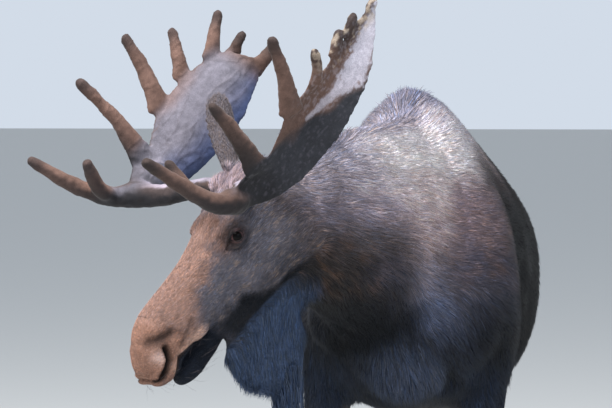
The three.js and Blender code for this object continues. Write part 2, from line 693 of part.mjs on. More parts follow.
const FINISH = {
  flesh: { color: 0x3b2c25, roughness: 0.9 },
  pale: { color: 0x6b6460, roughness: 0.9 },
  velvet: { color: 0x54463c, roughness: 0.85 },
  hoof: { color: 0x1e1b19, roughness: 0.5 },
  eye: { color: 0x0c0a0a, roughness: 0.1 },
};
function finishOf(name) {
  if (name.startsWith('antler')) return FINISH.velvet;
  if (name.startsWith('hoof') || name.startsWith('dewclaw')) return FINISH.hoof;
  if (name.startsWith('eye')) return FINISH.eye;
  if (name.startsWith('ear')) return FINISH.pale;
  return FINISH.flesh;
}

const group = new THREE.Group();
for (const [name, body] of Object.entries(pieces)) {
  const geometry = toGeometry(largest(body).translate([SHIFT_X, SHIFT_Y, 0]));
  const material = new THREE.MeshStandardMaterial({ ...finishOf(name), metalness: 0 });
  const mesh = new THREE.Mesh(geometry, material);
  mesh.name = name;
  group.add(mesh);
}

export default group;
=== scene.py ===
# %% [markdown]
# # A bull moose, from skin to hair tips
# The real animal is one hide over muscle, with a coat of short coarse hair, a
# long dark crest and bell, antlers in velvet, and horn hooves. The solids of the
# frame give its size and stance. This lesson lays one skin just inside them,
# then grows the coat on it as mesh tufts.

# %% The frame
import json
import math

import bmesh
import bpy
import numpy as np
from mathutils import Matrix, Vector

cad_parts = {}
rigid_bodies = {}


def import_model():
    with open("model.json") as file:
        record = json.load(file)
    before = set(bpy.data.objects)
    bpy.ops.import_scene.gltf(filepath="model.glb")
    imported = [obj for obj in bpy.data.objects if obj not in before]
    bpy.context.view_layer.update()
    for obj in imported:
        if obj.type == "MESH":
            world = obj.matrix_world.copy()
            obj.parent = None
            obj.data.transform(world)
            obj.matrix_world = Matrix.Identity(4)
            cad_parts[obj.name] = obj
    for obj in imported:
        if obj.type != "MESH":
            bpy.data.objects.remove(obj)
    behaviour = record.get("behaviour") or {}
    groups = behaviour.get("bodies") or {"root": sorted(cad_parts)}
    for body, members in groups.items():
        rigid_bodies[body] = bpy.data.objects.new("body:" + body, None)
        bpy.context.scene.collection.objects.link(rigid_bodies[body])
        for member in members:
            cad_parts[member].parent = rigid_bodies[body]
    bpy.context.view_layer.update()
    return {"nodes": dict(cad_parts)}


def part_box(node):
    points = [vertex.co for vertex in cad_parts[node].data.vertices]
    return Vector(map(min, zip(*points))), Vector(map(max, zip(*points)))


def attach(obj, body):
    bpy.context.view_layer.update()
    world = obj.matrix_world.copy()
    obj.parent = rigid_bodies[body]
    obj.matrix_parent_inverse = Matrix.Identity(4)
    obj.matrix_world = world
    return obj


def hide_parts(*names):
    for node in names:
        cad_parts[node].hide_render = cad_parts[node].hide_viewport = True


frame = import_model()
rng = np.random.default_rng(7)
print("nodes in the frame:", len(frame["nodes"]))

# %% [markdown]
# ## Places taken from the frame
# The eyes are the surest landmarks: their middle is the origin of the head's own
# frame, which runs forward to the nose, left, and up through the brow. The hump
# stands a known way behind that point.

# %% Landmarks
HEAD_TURN = math.radians(55)   # to the animal's right of straight ahead
HEAD_DROP = math.radians(47.5)  # of the nose below level
HEAD_FROM_HUMP = np.array([-0.484, -0.727, 1.451])

def node_middle(node):
    """Half the sum of the two corners of the node's box."""
    low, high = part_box(node)
    return (np.array(low) + np.array(high)) / 2

EYES = {"left": node_middle("eye_left"), "right": node_middle("eye_right")}
HEAD = (EYES["left"] + EYES["right"]) / 2
HUMP = HEAD - HEAD_FROM_HUMP  # the point on the floor under the hump
FORWARD = np.array([-math.sin(HEAD_TURN) * math.cos(HEAD_DROP),
                    -math.cos(HEAD_TURN) * math.cos(HEAD_DROP), -math.sin(HEAD_DROP)])
LEFT = np.array([math.cos(HEAD_TURN), -math.sin(HEAD_TURN), 0.0])
UP = np.cross(FORWARD, LEFT)
HEAD_AXES = np.stack([FORWARD, LEFT, UP])

def from_head(points):
    """Head frame to world: place + f * forward + s * left + u * up."""
    return np.asarray(points) @ HEAD_AXES + HEAD

def to_head(points):
    """World to head frame: the three dot products with the head's axes."""
    return (np.asarray(points) - HEAD) @ HEAD_AXES.T

print("head at", HEAD.round(3), "hump over", HUMP.round(3))

# %% [markdown]
# ## Camera
# A long lens from about a dozen metres keeps head, hump and antlers in their true
# proportions, where a short one would swell whatever is near. The lens is set so
# that one metre at the hump covers a known number of pixels.

# %% Camera
PICTURE_WIDTH = 612
HUMP_PIXEL = (410, 92)
PICTURE_CENTRE = (306, 204)
CAMERA_AZIMUTH, CAMERA_RISE = math.radians(6), math.radians(2)
CAMERA_REACH = 12.75
PIXELS_PER_METRE = 334
SENSOR = 36.0

def make_camera():
    """Stands the camera back from the hump's top along its line of sight, and slides
    it sideways and down by the hump's distance from the middle of the frame."""
    back = Vector((math.sin(CAMERA_AZIMUTH) * math.cos(CAMERA_RISE),
                   -math.cos(CAMERA_AZIMUTH) * math.cos(CAMERA_RISE), math.sin(CAMERA_RISE)))
    right = Vector((math.cos(CAMERA_AZIMUTH), math.sin(CAMERA_AZIMUTH), 0))
    up = back.cross(right)
    hump_top = Vector(HUMP) + Vector((0, 0, 1.85))
    across = (PICTURE_CENTRE[0] - HUMP_PIXEL[0]) / PIXELS_PER_METRE
    rise = (HUMP_PIXEL[1] - PICTURE_CENTRE[1]) / PIXELS_PER_METRE
    data = bpy.data.cameras.new("camera")
    data.sensor_width = SENSOR
    data.lens = SENSOR * PIXELS_PER_METRE * CAMERA_REACH / PICTURE_WIDTH
    data.clip_end = 300
    camera = bpy.data.objects.new("camera", data)
    camera.matrix_world = Matrix((right, up, back)).transposed().to_4x4()
    camera.location = hump_top + back * CAMERA_REACH + right * across + up * rise
    bpy.context.scene.collection.objects.link(camera)
    bpy.context.scene.camera = camera
    return camera

camera = make_camera()
print("lens", round(camera.data.lens, 1), "mm, camera at", [round(v, 2) for v in camera.location])

# %% [markdown]
# ## Shapes from arrays
# Every form here is a section carried along a line. The tables hold the section's
# sizes at a few stations, and a smooth curve through them gives as many rings as
# the mesh needs.

# %% Curves and steps
def smooth_rows(rows, t):
    """Cubic through equal-spaced rows; the slope at a row is half the step
    between its neighbours."""
    rows = np.asarray(rows, float)
    last = len(rows) - 1
    t = np.clip(np.asarray(t, float), 0, last)
    i = np.minimum(t.astype(int), last - 1)
    u = (t - i)[:, None]
    a, b, c, d = (rows[np.clip(i + k, 0, last)] for k in (-1, 0, 1, 2))
    m0, m1 = (c - a) / 2, (d - b) / 2
    return ((2 * u**3 - 3 * u**2 + 1) * b + (u**3 - 2 * u**2 + u) * m0
            + (3 * u**2 - 2 * u**3) * c + (u**3 - u**2) * m1)

def squared(c, n):
    """Super-ellipse: the sign of c times its size to the power 2 / n."""
    return np.sign(c) * np.abs(c) ** (2 / n)

def smoothstep(low, high, x):
    """Nought before low and one after high, with a smooth rise between."""
    t = np.clip((x - low) / (high - low), 0, 1)
    return t * t * (3 - 2 * t)

def unit(v):
    """Each vector over its own length."""
    return v / np.maximum(np.linalg.norm(v, axis=-1, keepdims=True), 1e-12)

print("height of a soft step a quarter of the way along:", float(smoothstep(0.0, 1.0, 0.25)))

# %% Rings into closed skins
def ring_faces(rings, sides):
    """Quads between neighbouring rings, and a triangle fan at each end whose
    middle points come after the grid's own."""
    k, i = np.meshgrid(np.arange(rings - 1), np.arange(sides), indexing="ij")
    j = (i + 1) % sides
    a, b = k * sides + i, k * sides + j
    quads = np.stack([a, b, b + sides, a + sides], -1).reshape(-1, 4)
    i = np.arange(sides)
    j = (i + 1) % sides
    first, last = rings * sides, rings * sides + 1
    end = (rings - 1) * sides
    fans = np.concatenate([np.stack([np.full(sides, first), j, i], -1),
                           np.stack([np.full(sides, last), end + i, end + j], -1)])
    return quads, fans

def closed_skin(grid):
    """Vertices and faces of a closed skin over rings of points."""
    rings, sides = grid.shape[:2]
    points = np.concatenate([grid.reshape(-1, 3), grid[0].mean(0)[None], grid[-1].mean(0)[None]])
    quads, fans = ring_faces(rings, sides)
    return points, [*quads.tolist(), *fans.tolist()]

def new_object(name, points, faces):
    """An object at the origin from a table of points and lists of their numbers."""
    mesh = bpy.data.meshes.new(name)
    mesh.from_pydata(np.asarray(points).tolist(), [], faces)
    mesh.validate()
    obj = bpy.data.objects.new(name, mesh)
    bpy.context.scene.collection.objects.link(obj)
    return obj

walls, lids = (len(faces) for faces in ring_faces(2, 48))
print("two rings of 48 make", walls, "walls and", lids, "triangles of the lids")

# %% Points of a mesh
def points_of(mesh):
    co = np.empty(len(mesh.vertices) * 3, np.float32)
    mesh.vertices.foreach_get("co", co)
    return co.reshape(-1, 3).astype(float)

def move_points(mesh, points):
    mesh.vertices.foreach_set("co", np.asarray(points, np.float32).ravel())
    mesh.update()

def normals_of(mesh):
    no = np.empty(len(mesh.vertices) * 3, np.float32)
    mesh.vertex_normals.foreach_get("vector", no)
    return no.reshape(-1, 3).astype(float)

def neighbours_mean(mesh, values):
    """Mean of each point's neighbours over the mesh's edges."""
    edges = np.empty(len(mesh.edges) * 2, np.int32)
    mesh.edges.foreach_get("vertices", edges)
    a, b = edges.reshape(-1, 2).T
    count = np.bincount(a, minlength=len(values)) + np.bincount(b, minlength=len(values))
    total = np.stack([np.bincount(a, values[b, k], len(values)) + np.bincount(b, values[a, k], len(values))
                      for k in range(values.shape[1])], -1)
    return total / np.maximum(count, 1)[:, None]

def relax(mesh, weight, times):
    """Moves each point half its weight of the way to its neighbours' mean."""
    points = points_of(mesh)
    for _ in range(times):
        points += weight[:, None] * (neighbours_mean(mesh, points) - points) * 0.5
    move_points(mesh, points)

print("one round of relaxing moves a point by a share of the way to its neighbours' mean")

# %% Modifiers and joins
def apply_modifier(obj, kind, **settings):
    """Adds one modifier, gives it its settings and bakes it into the mesh."""
    modifier = obj.modifiers.new(kind.lower(), kind)
    for key, value in settings.items():
        setattr(modifier, key, value)
    evaluated = obj.evaluated_get(bpy.context.evaluated_depsgraph_get())
    mesh = bpy.data.meshes.new_from_object(evaluated)
    obj.modifiers.clear()
    old = obj.data
    obj.data = mesh
    bpy.data.meshes.remove(old)
    return obj

def outward(obj):
    """Turns the faces of a closed mesh outwards."""
    bm = bmesh.new()
    bm.from_mesh(obj.data)
    bmesh.ops.recalc_face_normals(bm, faces=bm.faces)
    if bm.calc_volume(signed=True) < 0:
        bmesh.ops.reverse_faces(bm, faces=bm.faces)
    bm.to_mesh(obj.data)
    bm.free()
    return obj

def object_of_arrays(name, points, corners, totals):
    """An object from flat arrays: the points, the point at every corner of every face
    in turn, and the number of corners of each face."""
    mesh = bpy.data.meshes.new(name)
    mesh.vertices.add(len(points))
    mesh.loops.add(len(corners))
    mesh.polygons.add(len(totals))
    mesh.vertices.foreach_set("co", np.asarray(points, np.float32).ravel())
    mesh.loops.foreach_set("vertex_index", corners.astype(np.int32))
    mesh.polygons.foreach_set("loop_start", (np.cumsum(totals) - totals).astype(np.int32))
    mesh.polygons.foreach_set("loop_total", totals.astype(np.int32))
    mesh.update(calc_edges=True)
    obj = bpy.data.objects.new(name, mesh)
    bpy.context.scene.collection.objects.link(obj)
    return obj

def join_objects(name, objects):
    """Stacks the arrays of several meshes; a mesh's corner numbers move up by the
    number of points before it."""
    points, corners, totals, start = [], [], [], 0
    for obj in objects:
        mesh = obj.data
        corner, total = np.empty(len(mesh.loops), np.int32), np.empty(len(mesh.polygons), np.int32)
        mesh.loops.foreach_get("vertex_index", corner)
        mesh.polygons.foreach_get("loop_total", total)
        points.append(points_of(mesh))
        corners.append(corner + start)
        totals.append(total)
        start += len(mesh.vertices)
        bpy.data.objects.remove(obj)
    return object_of_arrays(name, *map(np.concatenate, (points, corners, totals)))

print("operators for a modifier:", ", ".join(f.__name__ for f in (apply_modifier, outward, join_objects)))

# %% [markdown]
# ## Trunk, neck and legs
# The tables repeat the sizes of the solids, and each form is drawn in by the
# depth of the coat that will stand on it. Legs start high inside the trunk, so
# that shoulder and haunch swell under one skin when everything is melted together.

# %% Body tables, metres
# y, back line, belly line, half-width, level of the widest point, squareness above and below
TRUNK = np.array([
    [-0.335, 1.285, 1.105, 0.055, 1.190, 2.00, 2.0],
    [-0.300, 1.400, 1.025, 0.140, 1.190, 2.00, 2.0],
    [-0.210, 1.590, 0.965, 0.225, 1.200, 1.90, 2.1],
    [-0.100, 1.764, 0.925, 0.280, 1.200, 1.85, 2.2],
    [0.000, 1.850, 0.902, 0.300, 1.190, 1.80, 2.3],
    [0.130, 1.846, 0.888, 0.312, 1.190, 1.80, 2.3],
    [0.280, 1.788, 0.876, 0.336, 1.225, 1.90, 2.3],
    [0.480, 1.712, 0.868, 0.352, 1.250, 2.05, 2.3],
    [0.680, 1.658, 0.880, 0.350, 1.280, 2.10, 2.3],
    [0.880, 1.622, 0.925, 0.328, 1.290, 2.10, 2.2],
    [1.040, 1.590, 0.985, 0.296, 1.290, 1.90, 2.1],
    [1.180, 1.530, 1.045, 0.262, 1.290, 1.85, 2.1],
    [1.290, 1.445, 1.110, 0.205, 1.285, 1.90, 2.0],
    [1.355, 1.365, 1.180, 0.130, 1.275, 2.00, 2.0],
    [1.385, 1.310, 1.235, 0.050, 1.270, 2.00, 2.0],
])
# x, y, z, half-width, reach up, reach down, squareness above and below
NECK = np.array([
    [0.003, 0.080, 1.390, 0.235, 0.400, 0.380, 1.60, 2.0],
    [-0.035, -0.129, 1.395, 0.242, 0.385, 0.370, 1.65, 2.0],
    [-0.098, -0.297, 1.410, 0.205, 0.356, 0.300, 1.70, 2.0],
    [-0.193, -0.439, 1.440, 0.168, 0.316, 0.232, 1.80, 2.0],
    [-0.287, -0.543, 1.478, 0.140, 0.226, 0.180, 1.90, 2.0],
    [-0.364, -0.628, 1.512, 0.122, 0.148, 0.150, 2.00, 2.0],
    [-0.416, -0.686, 1.530, 0.100, 0.108, 0.110, 2.00, 2.0],
])
# x from the leg's line, y, z, half-width, reach forward, reach back
FORELEG = np.array([
    [-0.040, 0.070, 1.600, 0.040, 0.080, 0.080],
    [0.010, 0.045, 1.480, 0.066, 0.140, 0.125],
    [0.034, 0.005, 1.320, 0.076, 0.175, 0.150],
    [0.036, -0.015, 1.180, 0.086, 0.160, 0.165],
    [0.014, 0.020, 1.050, 0.088, 0.115, 0.140],
    [0.002, 0.038, 0.930, 0.080, 0.092, 0.098],
    [0.000, 0.040, 0.800, 0.066, 0.070, 0.074],
    [0.000, 0.034, 0.670, 0.052, 0.052, 0.052],
    [0.000, 0.026, 0.560, 0.050, 0.050, 0.050],
    [0.000, 0.028, 0.480, 0.042, 0.042, 0.044],
    [0.000, 0.034, 0.360, 0.033, 0.036, 0.040],
    [0.000, 0.038, 0.240, 0.035, 0.038, 0.042],
    [0.000, 0.034, 0.170, 0.043, 0.044, 0.052],
    [0.000, 0.012, 0.112, 0.041, 0.042, 0.044],
    [0.000, -0.012, 0.072, 0.045, 0.046, 0.048],
])
HIND_LEG = np.array([
    [-0.060, 1.100, 1.470, 0.050, 0.090, 0.090],
    [-0.010, 1.105, 1.360, 0.086, 0.165, 0.160],
    [0.012, 1.100, 1.220, 0.102, 0.205, 0.200],
    [0.018, 1.090, 1.080, 0.100, 0.200, 0.195],
    [0.014, 1.095, 0.960, 0.086, 0.165, 0.150],
    [0.006, 1.150, 0.840, 0.068, 0.120, 0.104],
    [0.000, 1.218, 0.730, 0.050, 0.078, 0.076],
    [0.000, 1.262, 0.640, 0.044, 0.062, 0.064],
    [0.000, 1.262, 0.550, 0.039, 0.048, 0.052],
    [0.000, 1.250, 0.430, 0.032, 0.038, 0.040],
    [0.000, 1.240, 0.290, 0.032, 0.038, 0.040],
    [0.000, 1.230, 0.185, 0.041, 0.044, 0.050],
    [0.000, 1.204, 0.118, 0.039, 0.042, 0.042],
    [0.000, 1.180, 0.074, 0.043, 0.046, 0.046],
])
# x, y, z, half-width, reach forward, reach back: the hanging fold of the throat
BELL = np.array([
    [-0.357, -0.628, 1.350, 0.062, 0.165, 0.150],
    [-0.357, -0.628, 1.240, 0.054, 0.198, 0.140],
    [-0.352, -0.628, 1.150, 0.047, 0.218, 0.178],
    [-0.340, -0.621, 1.080, 0.040, 0.184, 0.152],
    [-0.317, -0.607, 1.020, 0.033, 0.092, 0.122],
    [-0.302, -0.598, 0.955, 0.024, 0.030, 0.034],
])
BELL_FORWARD = [-0.61, -0.79, 0]
TAIL = np.array([
    [0.000, 1.330, 1.340, 0.034, 0.026, 0.026],
    [0.000, 1.378, 1.322, 0.036, 0.028, 0.028],
    [0.000, 1.412, 1.272, 0.034, 0.026, 0.024],
    [0.000, 1.424, 1.215, 0.026, 0.020, 0.018],
])
print("stations: trunk", len(TRUNK), "neck", len(NECK), "foreleg", len(FORELEG), "hind leg", len(HIND_LEG))

# %% Stance, coat depths, lumps and folds
SPREAD = {"fore": 0.220, "hind": 0.142}
STANCE = {("fore", 1): 0.020, ("fore", -1): -0.025, ("hind", 1): -0.110, ("hind", -1): 0.050}
# How far each leg stands out from the square stance, fully below the second level
SPLAY = {("fore", 1): -0.008, ("fore", -1): 0.030, ("hind", 1): 0.0, ("hind", -1): 0.0}
SWING_TOP, SPLAY_LEVEL = 1.150, 0.950
SIDES = {"left": 1, "right": -1}
# Depth of the coat over the hide
COAT = {"trunk": 0.0, "neck": 0.009, "leg": 0.005, "head": 0.006, "bell": 0.011, "tail": 0.010}
# Lumps of the body under the hide: place, then half-size each way
BODY_LUMPS = {
    "brisket": ([0.008, -0.262, 1.040], [0.122, 0.072, 0.102]),
    "right shoulder point": ([-0.205, -0.215, 1.190], [0.085, 0.080, 0.095]),
    "left shoulder point": ([0.190, -0.170, 1.200], [0.095, 0.085, 0.150]),
}

# Folds of the hide: width, then the line's points from the hump's foot
FOLDS = {
    "behind neck": (0.030, [[-0.10, -0.40, 1.22], [-0.085, -0.35, 1.30], [-0.050, -0.30, 1.40]]),
    "below neck": (0.032, [[-0.30, -0.42, 1.20], [-0.20, -0.38, 1.16], [-0.08, -0.33, 1.17],
                           [0.02, -0.28, 1.24]]),
    "left armpit": (0.030, [[0.10, -0.28, 1.16], [0.13, -0.24, 1.05], [0.15, -0.18, 0.98]]),
}
FOLD_DEPTH = 0.016
print("lumps:", len(BODY_LUMPS), "and folds:", len(FOLDS))

# %% Body forms
BODY_VOXEL = 0.0138
MELTING = 34  # rounds of relaxing that melt the forms together

def angles(sides):
    """Cosine and sine of equal steps round a full turn."""
    a = np.linspace(0, 2 * np.pi, sides, endpoint=False)
    return np.cos(a), np.sin(a)

def upright_rings(axis, centre_x, half, level, top, bottom, over, under, sides):
    """Rings that stand square across a straight axis. Each is a super-ellipse of
    its own half-width and of separate reach above and below its widest level."""
    c, s = angles(sides)
    above = s >= 0
    n = np.where(above, over[:, None], under[:, None])
    reach = np.where(above, (top - level)[:, None], (level - bottom)[:, None])
    across = centre_x[:, None] - half[:, None] * squared(c, n)
    rise = level[:, None] + reach * squared(s, n)
    return np.stack([across, np.broadcast_to(axis[:, None], across.shape), rise], -1)

def trunk_grid(rings, sides, depth):
    """Upright rings along the back, drawn in by the depth of the coat."""
    r = smooth_rows(TRUNK, np.linspace(0, len(TRUNK) - 1, rings)).T
    y, top, belly, half, level, over, under = r
    ends = np.clip(half / 0.1, 0.3, 1)
    return upright_rings(y, 0 * y, half - depth * ends, level, top - depth * 1.25 * ends,
                         belly + depth * ends, over, under, sides) + HUMP

def carried_grid(r, upward, sides):
    """Section carried along a path: each ring is square to the path."""
    place, half, up, down = r[:, :3], r[:, 3], r[:, 4], r[:, 5]
    over, under = (r[:, 6], r[:, 7]) if r.shape[1] > 6 else (np.full(len(r), 2.0),) * 2
    along = unit(np.gradient(place, axis=0))
    side = unit(np.cross(along, upward))
    rise = np.cross(side, along)
    c, s = angles(sides)
    above = s >= 0
    n = np.where(above, over[:, None], under[:, None])
    reach = np.where(above, up[:, None], down[:, None])
    return (place[:, None] + side[:, None] * (half[:, None] * squared(c, n))[..., None]
            + rise[:, None] * (reach * squared(s, n))[..., None])

def neck_grid(rings, sides, depth):
    """Rings square to the neck's own line, drawn in by the depth of the coat."""
    r = smooth_rows(NECK, np.linspace(0, len(NECK) - 1, rings))
    r[:, 3:6] -= depth
    return carried_grid(r, [0, 0, 1], sides) + HUMP

def ball_grid(place, size, rings=24, sides=32):
    """Ellipsoid: cosine and sine of latitude and longitude times the half-sizes."""
    lat = np.linspace(-np.pi / 2, np.pi / 2, rings + 2)[1:-1]
    c, s = angles(sides)
    grid = np.stack([np.sin(lat)[:, None] + 0 * c, np.cos(lat)[:, None] * c,
                     np.cos(lat)[:, None] * s], -1)
    return grid * size + place

print("steps round a ring of 48:", len(angles(48)[0]))

# %% Legs, tail and bell
def leg_table(end, side):
    """One leg's rows: swung fore or aft and set apart in proportion to the drop
    below the shoulder."""
    table = (FORELEG if end == "fore" else HIND_LEG).copy()
    swing = STANCE[end, side] * np.clip((SWING_TOP - table[:, 2]) / SWING_TOP, 0, 1)
    apart = SPLAY[end, side] * np.clip((SWING_TOP - table[:, 2]) / (SWING_TOP - SPLAY_LEVEL), 0, 1)
    table[:, 0] = side * (SPREAD[end] + table[:, 0] + apart)
    table[:, 1] += swing
    return table

def leg_grid(end, side, rings, sides, depth):
    """Rings carried down the leg, drawn in a little more at the thick top."""
    table = leg_table(end, side)
    r = smooth_rows(table, np.linspace(0, len(table) - 1, rings))
    r[:, 3:6] -= depth + 0.006 * smoothstep(0.7, 1.1, r[:, 2:3])
    return carried_grid(r, [0, -1, 0], sides) + HUMP

def hung_grid(table, upward, rings, sides, depth):
    """Rings carried down the bell or the tail."""
    r = smooth_rows(table, np.linspace(0, len(table) - 1, rings))
    r[:, 3:6] = np.maximum(r[:, 3:6] - depth, 0.008)
    return carried_grid(r, upward, sides) + HUMP

print("stations of a foreleg as it stands:", len(leg_table("fore", 1)))

# %% Folds and the whole body
def line_distance(points, line):
    """Least distance from each point to a chain of straight pieces."""
    best = np.full(len(points), 1e9)
    line = np.asarray(line, float)
    for a, b in zip(line[:-1], line[1:]):
        t = np.clip((points - a) @ (b - a) / ((b - a) @ (b - a)), 0, 1)
        best = np.minimum(best, np.linalg.norm(points - a - t[:, None] * (b - a), axis=1))
    return best

def fold_share(points):
    """One at the bottom of a fold of the hide, falling off as exp of minus the
    squared distance over the fold's width."""
    p = points - HUMP
    share = np.zeros(len(p))
    for width, line in FOLDS.values():
        share = np.maximum(share, np.exp(-(line_distance(p, line) / width) ** 2))
    return share

def make_body():
    """All the forms on one fine grid of voxels, relaxed, and folded: a point in a
    fold moves in by the fold's depth times its share."""
    parts = [trunk_grid(90, 120, COAT["trunk"]), neck_grid(60, 96, COAT["neck"])]
    parts += [hung_grid(BELL, BELL_FORWARD, 50, 48, COAT["bell"]),
              hung_grid(TAIL, [0, 1, 0.3], 30, 32, COAT["tail"])]
    parts += [leg_grid(end, side, 110, 48, COAT["leg"]) for end in SPREAD for side in SIDES.values()]
    parts += [ball_grid(place, size) + HUMP for place, size in BODY_LUMPS.values()]
    blanks = [outward(new_object("blank", *closed_skin(g))) for g in parts]
    body = join_objects("skin", blanks)
    apply_modifier(body, "REMESH", mode="VOXEL", voxel_size=BODY_VOXEL, adaptivity=0.0)
    height = points_of(body.data)[:, 2]
    relax(body.data, 0.12 + 0.88 * smoothstep(0.80, 1.05, height), MELTING)
    points = points_of(body.data)
    inward = (FOLD_DEPTH * fold_share(points))[:, None] * normals_of(body.data)
    move_points(body.data, points - inward)
    return body

body = make_body()
print("body:", len(body.data.vertices), "points")

# %% [markdown]
# ## Head
# A moose's head is one long box: flat between the eyes, deep in the cheek, and
# ending in a drooping, very mobile muzzle. A plain loft gives the box. Lumps
# melted into it give bone and muscle. Creases and hollows are pressed in last,
# where a fine mesh can hold them.

# %% Head tables, metres in the head's frame
# forward, top, bottom, half-width, level of the widest point, squareness above and below
SKULL = np.array([
    [-0.262, 0.020, -0.130, 0.060, -0.040, 2.0, 2.0],
    [-0.240, 0.068, -0.205, 0.098, -0.050, 2.0, 2.0],
    [-0.195, 0.090, -0.242, 0.106, -0.050, 2.2, 2.1],
    [-0.130, 0.086, -0.256, 0.106, -0.030, 2.4, 2.1],
    [-0.060, 0.076, -0.248, 0.106, -0.010, 2.6, 1.9],
    [0.000, 0.062, -0.222, 0.102, 0.000, 2.7, 1.8],
    [0.060, 0.052, -0.192, 0.093, -0.020, 2.4, 1.9],
    [0.130, 0.044, -0.166, 0.080, -0.035, 2.2, 2.0],
    [0.210, 0.043, -0.148, 0.073, -0.050, 2.1, 2.2],
    [0.290, 0.043, -0.142, 0.075, -0.062, 2.1, 2.4],
    [0.345, 0.036, -0.144, 0.082, -0.068, 2.2, 2.4],
    [0.395, 0.008, -0.147, 0.084, -0.076, 2.3, 2.4],
    [0.436, -0.032, -0.142, 0.072, -0.090, 2.2, 2.2],
    [0.456, -0.062, -0.128, 0.044, -0.098, 2.0, 2.0],
])
# forward, left, up, half-width, reach up, reach down
JAW = np.array([
    [-0.060, 0, -0.190, 0.070, 0.040, 0.062],
    [0.030, 0, -0.172, 0.068, 0.040, 0.044],
    [0.120, 0, -0.160, 0.056, 0.040, 0.042],
    [0.210, 0, -0.152, 0.048, 0.030, 0.060],
    [0.290, 0, -0.160, 0.044, 0.025, 0.058],
    [0.345, 0, -0.172, 0.045, 0.030, 0.049],
    [0.384, 0, -0.176, 0.034, 0.026, 0.032],
    [0.400, 0, -0.172, 0.014, 0.014, 0.012],
])
# Lumps under the hide, mirrored to both sides: place, then half-size each way
LUMPS = {
    "brow": ([-0.012, 0.079, 0.034], [0.050, 0.022, 0.017]),
    "temple": ([-0.075, 0.084, 0.005], [0.070, 0.022, 0.060]),
    "cheek": ([-0.050, 0.070, -0.110], [0.140, 0.031, 0.095]),
    "face ridge": ([0.100, 0.058, -0.040], [0.140, 0.018, 0.022]),
    "nostril wing": ([0.392, 0.048, -0.056], [0.030, 0.023, 0.040]),
    "lip corner": ([0.260, 0.057, -0.118], [0.036, 0.011, 0.014]),
    "upper lip": ([0.402, 0.040, -0.108], [0.064, 0.036, 0.036]),
    "pedicle": ([-0.128, 0.062, 0.052], [0.042, 0.040, 0.040]),
}
# Ears: root, bend and tip, and how wide; the right one is laid back and up
EARS = {
    "left": ([-0.176, 0.084, 0.034], [-0.244, 0.158, 0.042], [-0.336, 0.204, 0.020], 0.050),
    "right": ([-0.182, 0.078, 0.052], [-0.262, 0.122, 0.128], [-0.345, 0.152, 0.212], 0.056),
}

print("stations: skull", len(SKULL), "jaw", len(JAW), "and", len(LUMPS), "lumps to a side")

# %% Head forms
HEAD_VOXEL = 0.0043

def mirrored(point, side):
    """The point, or its mirror image in the middle plane when side is -1."""
    return np.asarray(point, float) * [1, side, 1]

def skull_grid(rings, sides, depth):
    """Upright rings from poll to nose; forward and left change places, as the rings
    are drawn about a line that runs forward."""
    r = smooth_rows(SKULL, np.linspace(0, len(SKULL) - 1, rings)).T
    f, top, low, half, level, over, under = r
    inset = depth + 0.004 * smoothstep(0.05, -0.15, f)
    ends = np.clip(half / 0.08, 0.4, 1)
    ring = upright_rings(f, 0 * f, half - inset * ends, level, top - inset, low + inset,
                         over, under, sides)
    return ring[..., [1, 0, 2]]

def jaw_grid(rings, sides, depth):
    """Rings carried along the lower jaw."""
    r = smooth_rows(JAW, np.linspace(0, len(JAW) - 1, rings))
    r[:, 3:6] = np.maximum(r[:, 3:6] - depth, 0.006)
    return carried_grid(r, [0, 0, 1], sides)

def ear_grid(name, rings, sides):
    """A leaf: its half-width grows, then closes as the root of one less t squared.
    The section is a thick crescent, hollow on the side that listens."""
    root, bend, tip, wide = EARS[name]
    side = SIDES[name]
    t = np.linspace(0, 1, rings)
    path = smooth_rows([mirrored(p, side) for p in (root, bend, tip)], 2 * t)
    half = wide * (0.5 + 1.35 * t) * np.sqrt(1 - 0.985 * t * t) / 1.12 - 0.004
    along = unit(np.gradient(path, axis=0))
    across = unit(np.cross(along, [0, side, 0]))
    out = np.cross(across, along)
    c, s = angles(sides)
    thick = (0.0085 + 0.012 * smoothstep(0.25, 0.0, t))[:, None]
    hollow = (half * 0.55 * smoothstep(0.0, 0.3, t))[:, None]
    x = half[:, None] * c
    bow = hollow * c * c
    return (path[:, None] + across[:, None] * x[..., None]
            + out[:, None] * (thick * s + bow - hollow * 0.35)[..., None])

def make_head():
    """Skull, jaw, lumps and ears melted together on a fine grid of voxels."""
    grids = [skull_grid(150, 120, COAT["head"]), jaw_grid(60, 64, 0.004)]
    for side in SIDES.values():
        for place, size in LUMPS.values():
            grids.append(ball_grid(mirrored(place, side), size))
    grids += [ear_grid(name, 60, 64) for name in EARS]
    blanks = [outward(new_object("blank", *closed_skin(from_head(g)))) for g in grids]
    head = join_objects("head skin", blanks)
    apply_modifier(head, "REMESH", mode="VOXEL", voxel_size=HEAD_VOXEL, adaptivity=0.0)
    apply_modifier(head, "SMOOTH", factor=0.5, iterations=24)
    return head

head = make_head()
print("head:", len(head.data.vertices), "points")

# %% [markdown]
# ## Eyes and lids
# A moose's eye is a dark ball about four centimetres across, set low beside the
# brow. Lids only look right if their edge is one clean line that lies on the
# ball, so each eye gets its own fine ring of skin: the hide is opened around the
# eye and sewn to the ring's outer edge.

# %% Eye places and the almond of the lids
EYE_RADIUS = 0.0195
EYE_DEPTH = 0.003           # how far the ball sits inside its mark in the frame
EYE_OUT = [0.20, 0.95, 0.14]  # way the eye looks, in the head's frame
EYE_LONG = [0.93, 0.0, 0.36]  # from the rear corner to the front one
LID_LONG, LID_UPPER, LID_LOWER = 0.0187, 0.0130, 0.0106
LID_RING = (0.040, 0.034)   # half-sizes of the ring's outer edge
RING_POINTS = 72

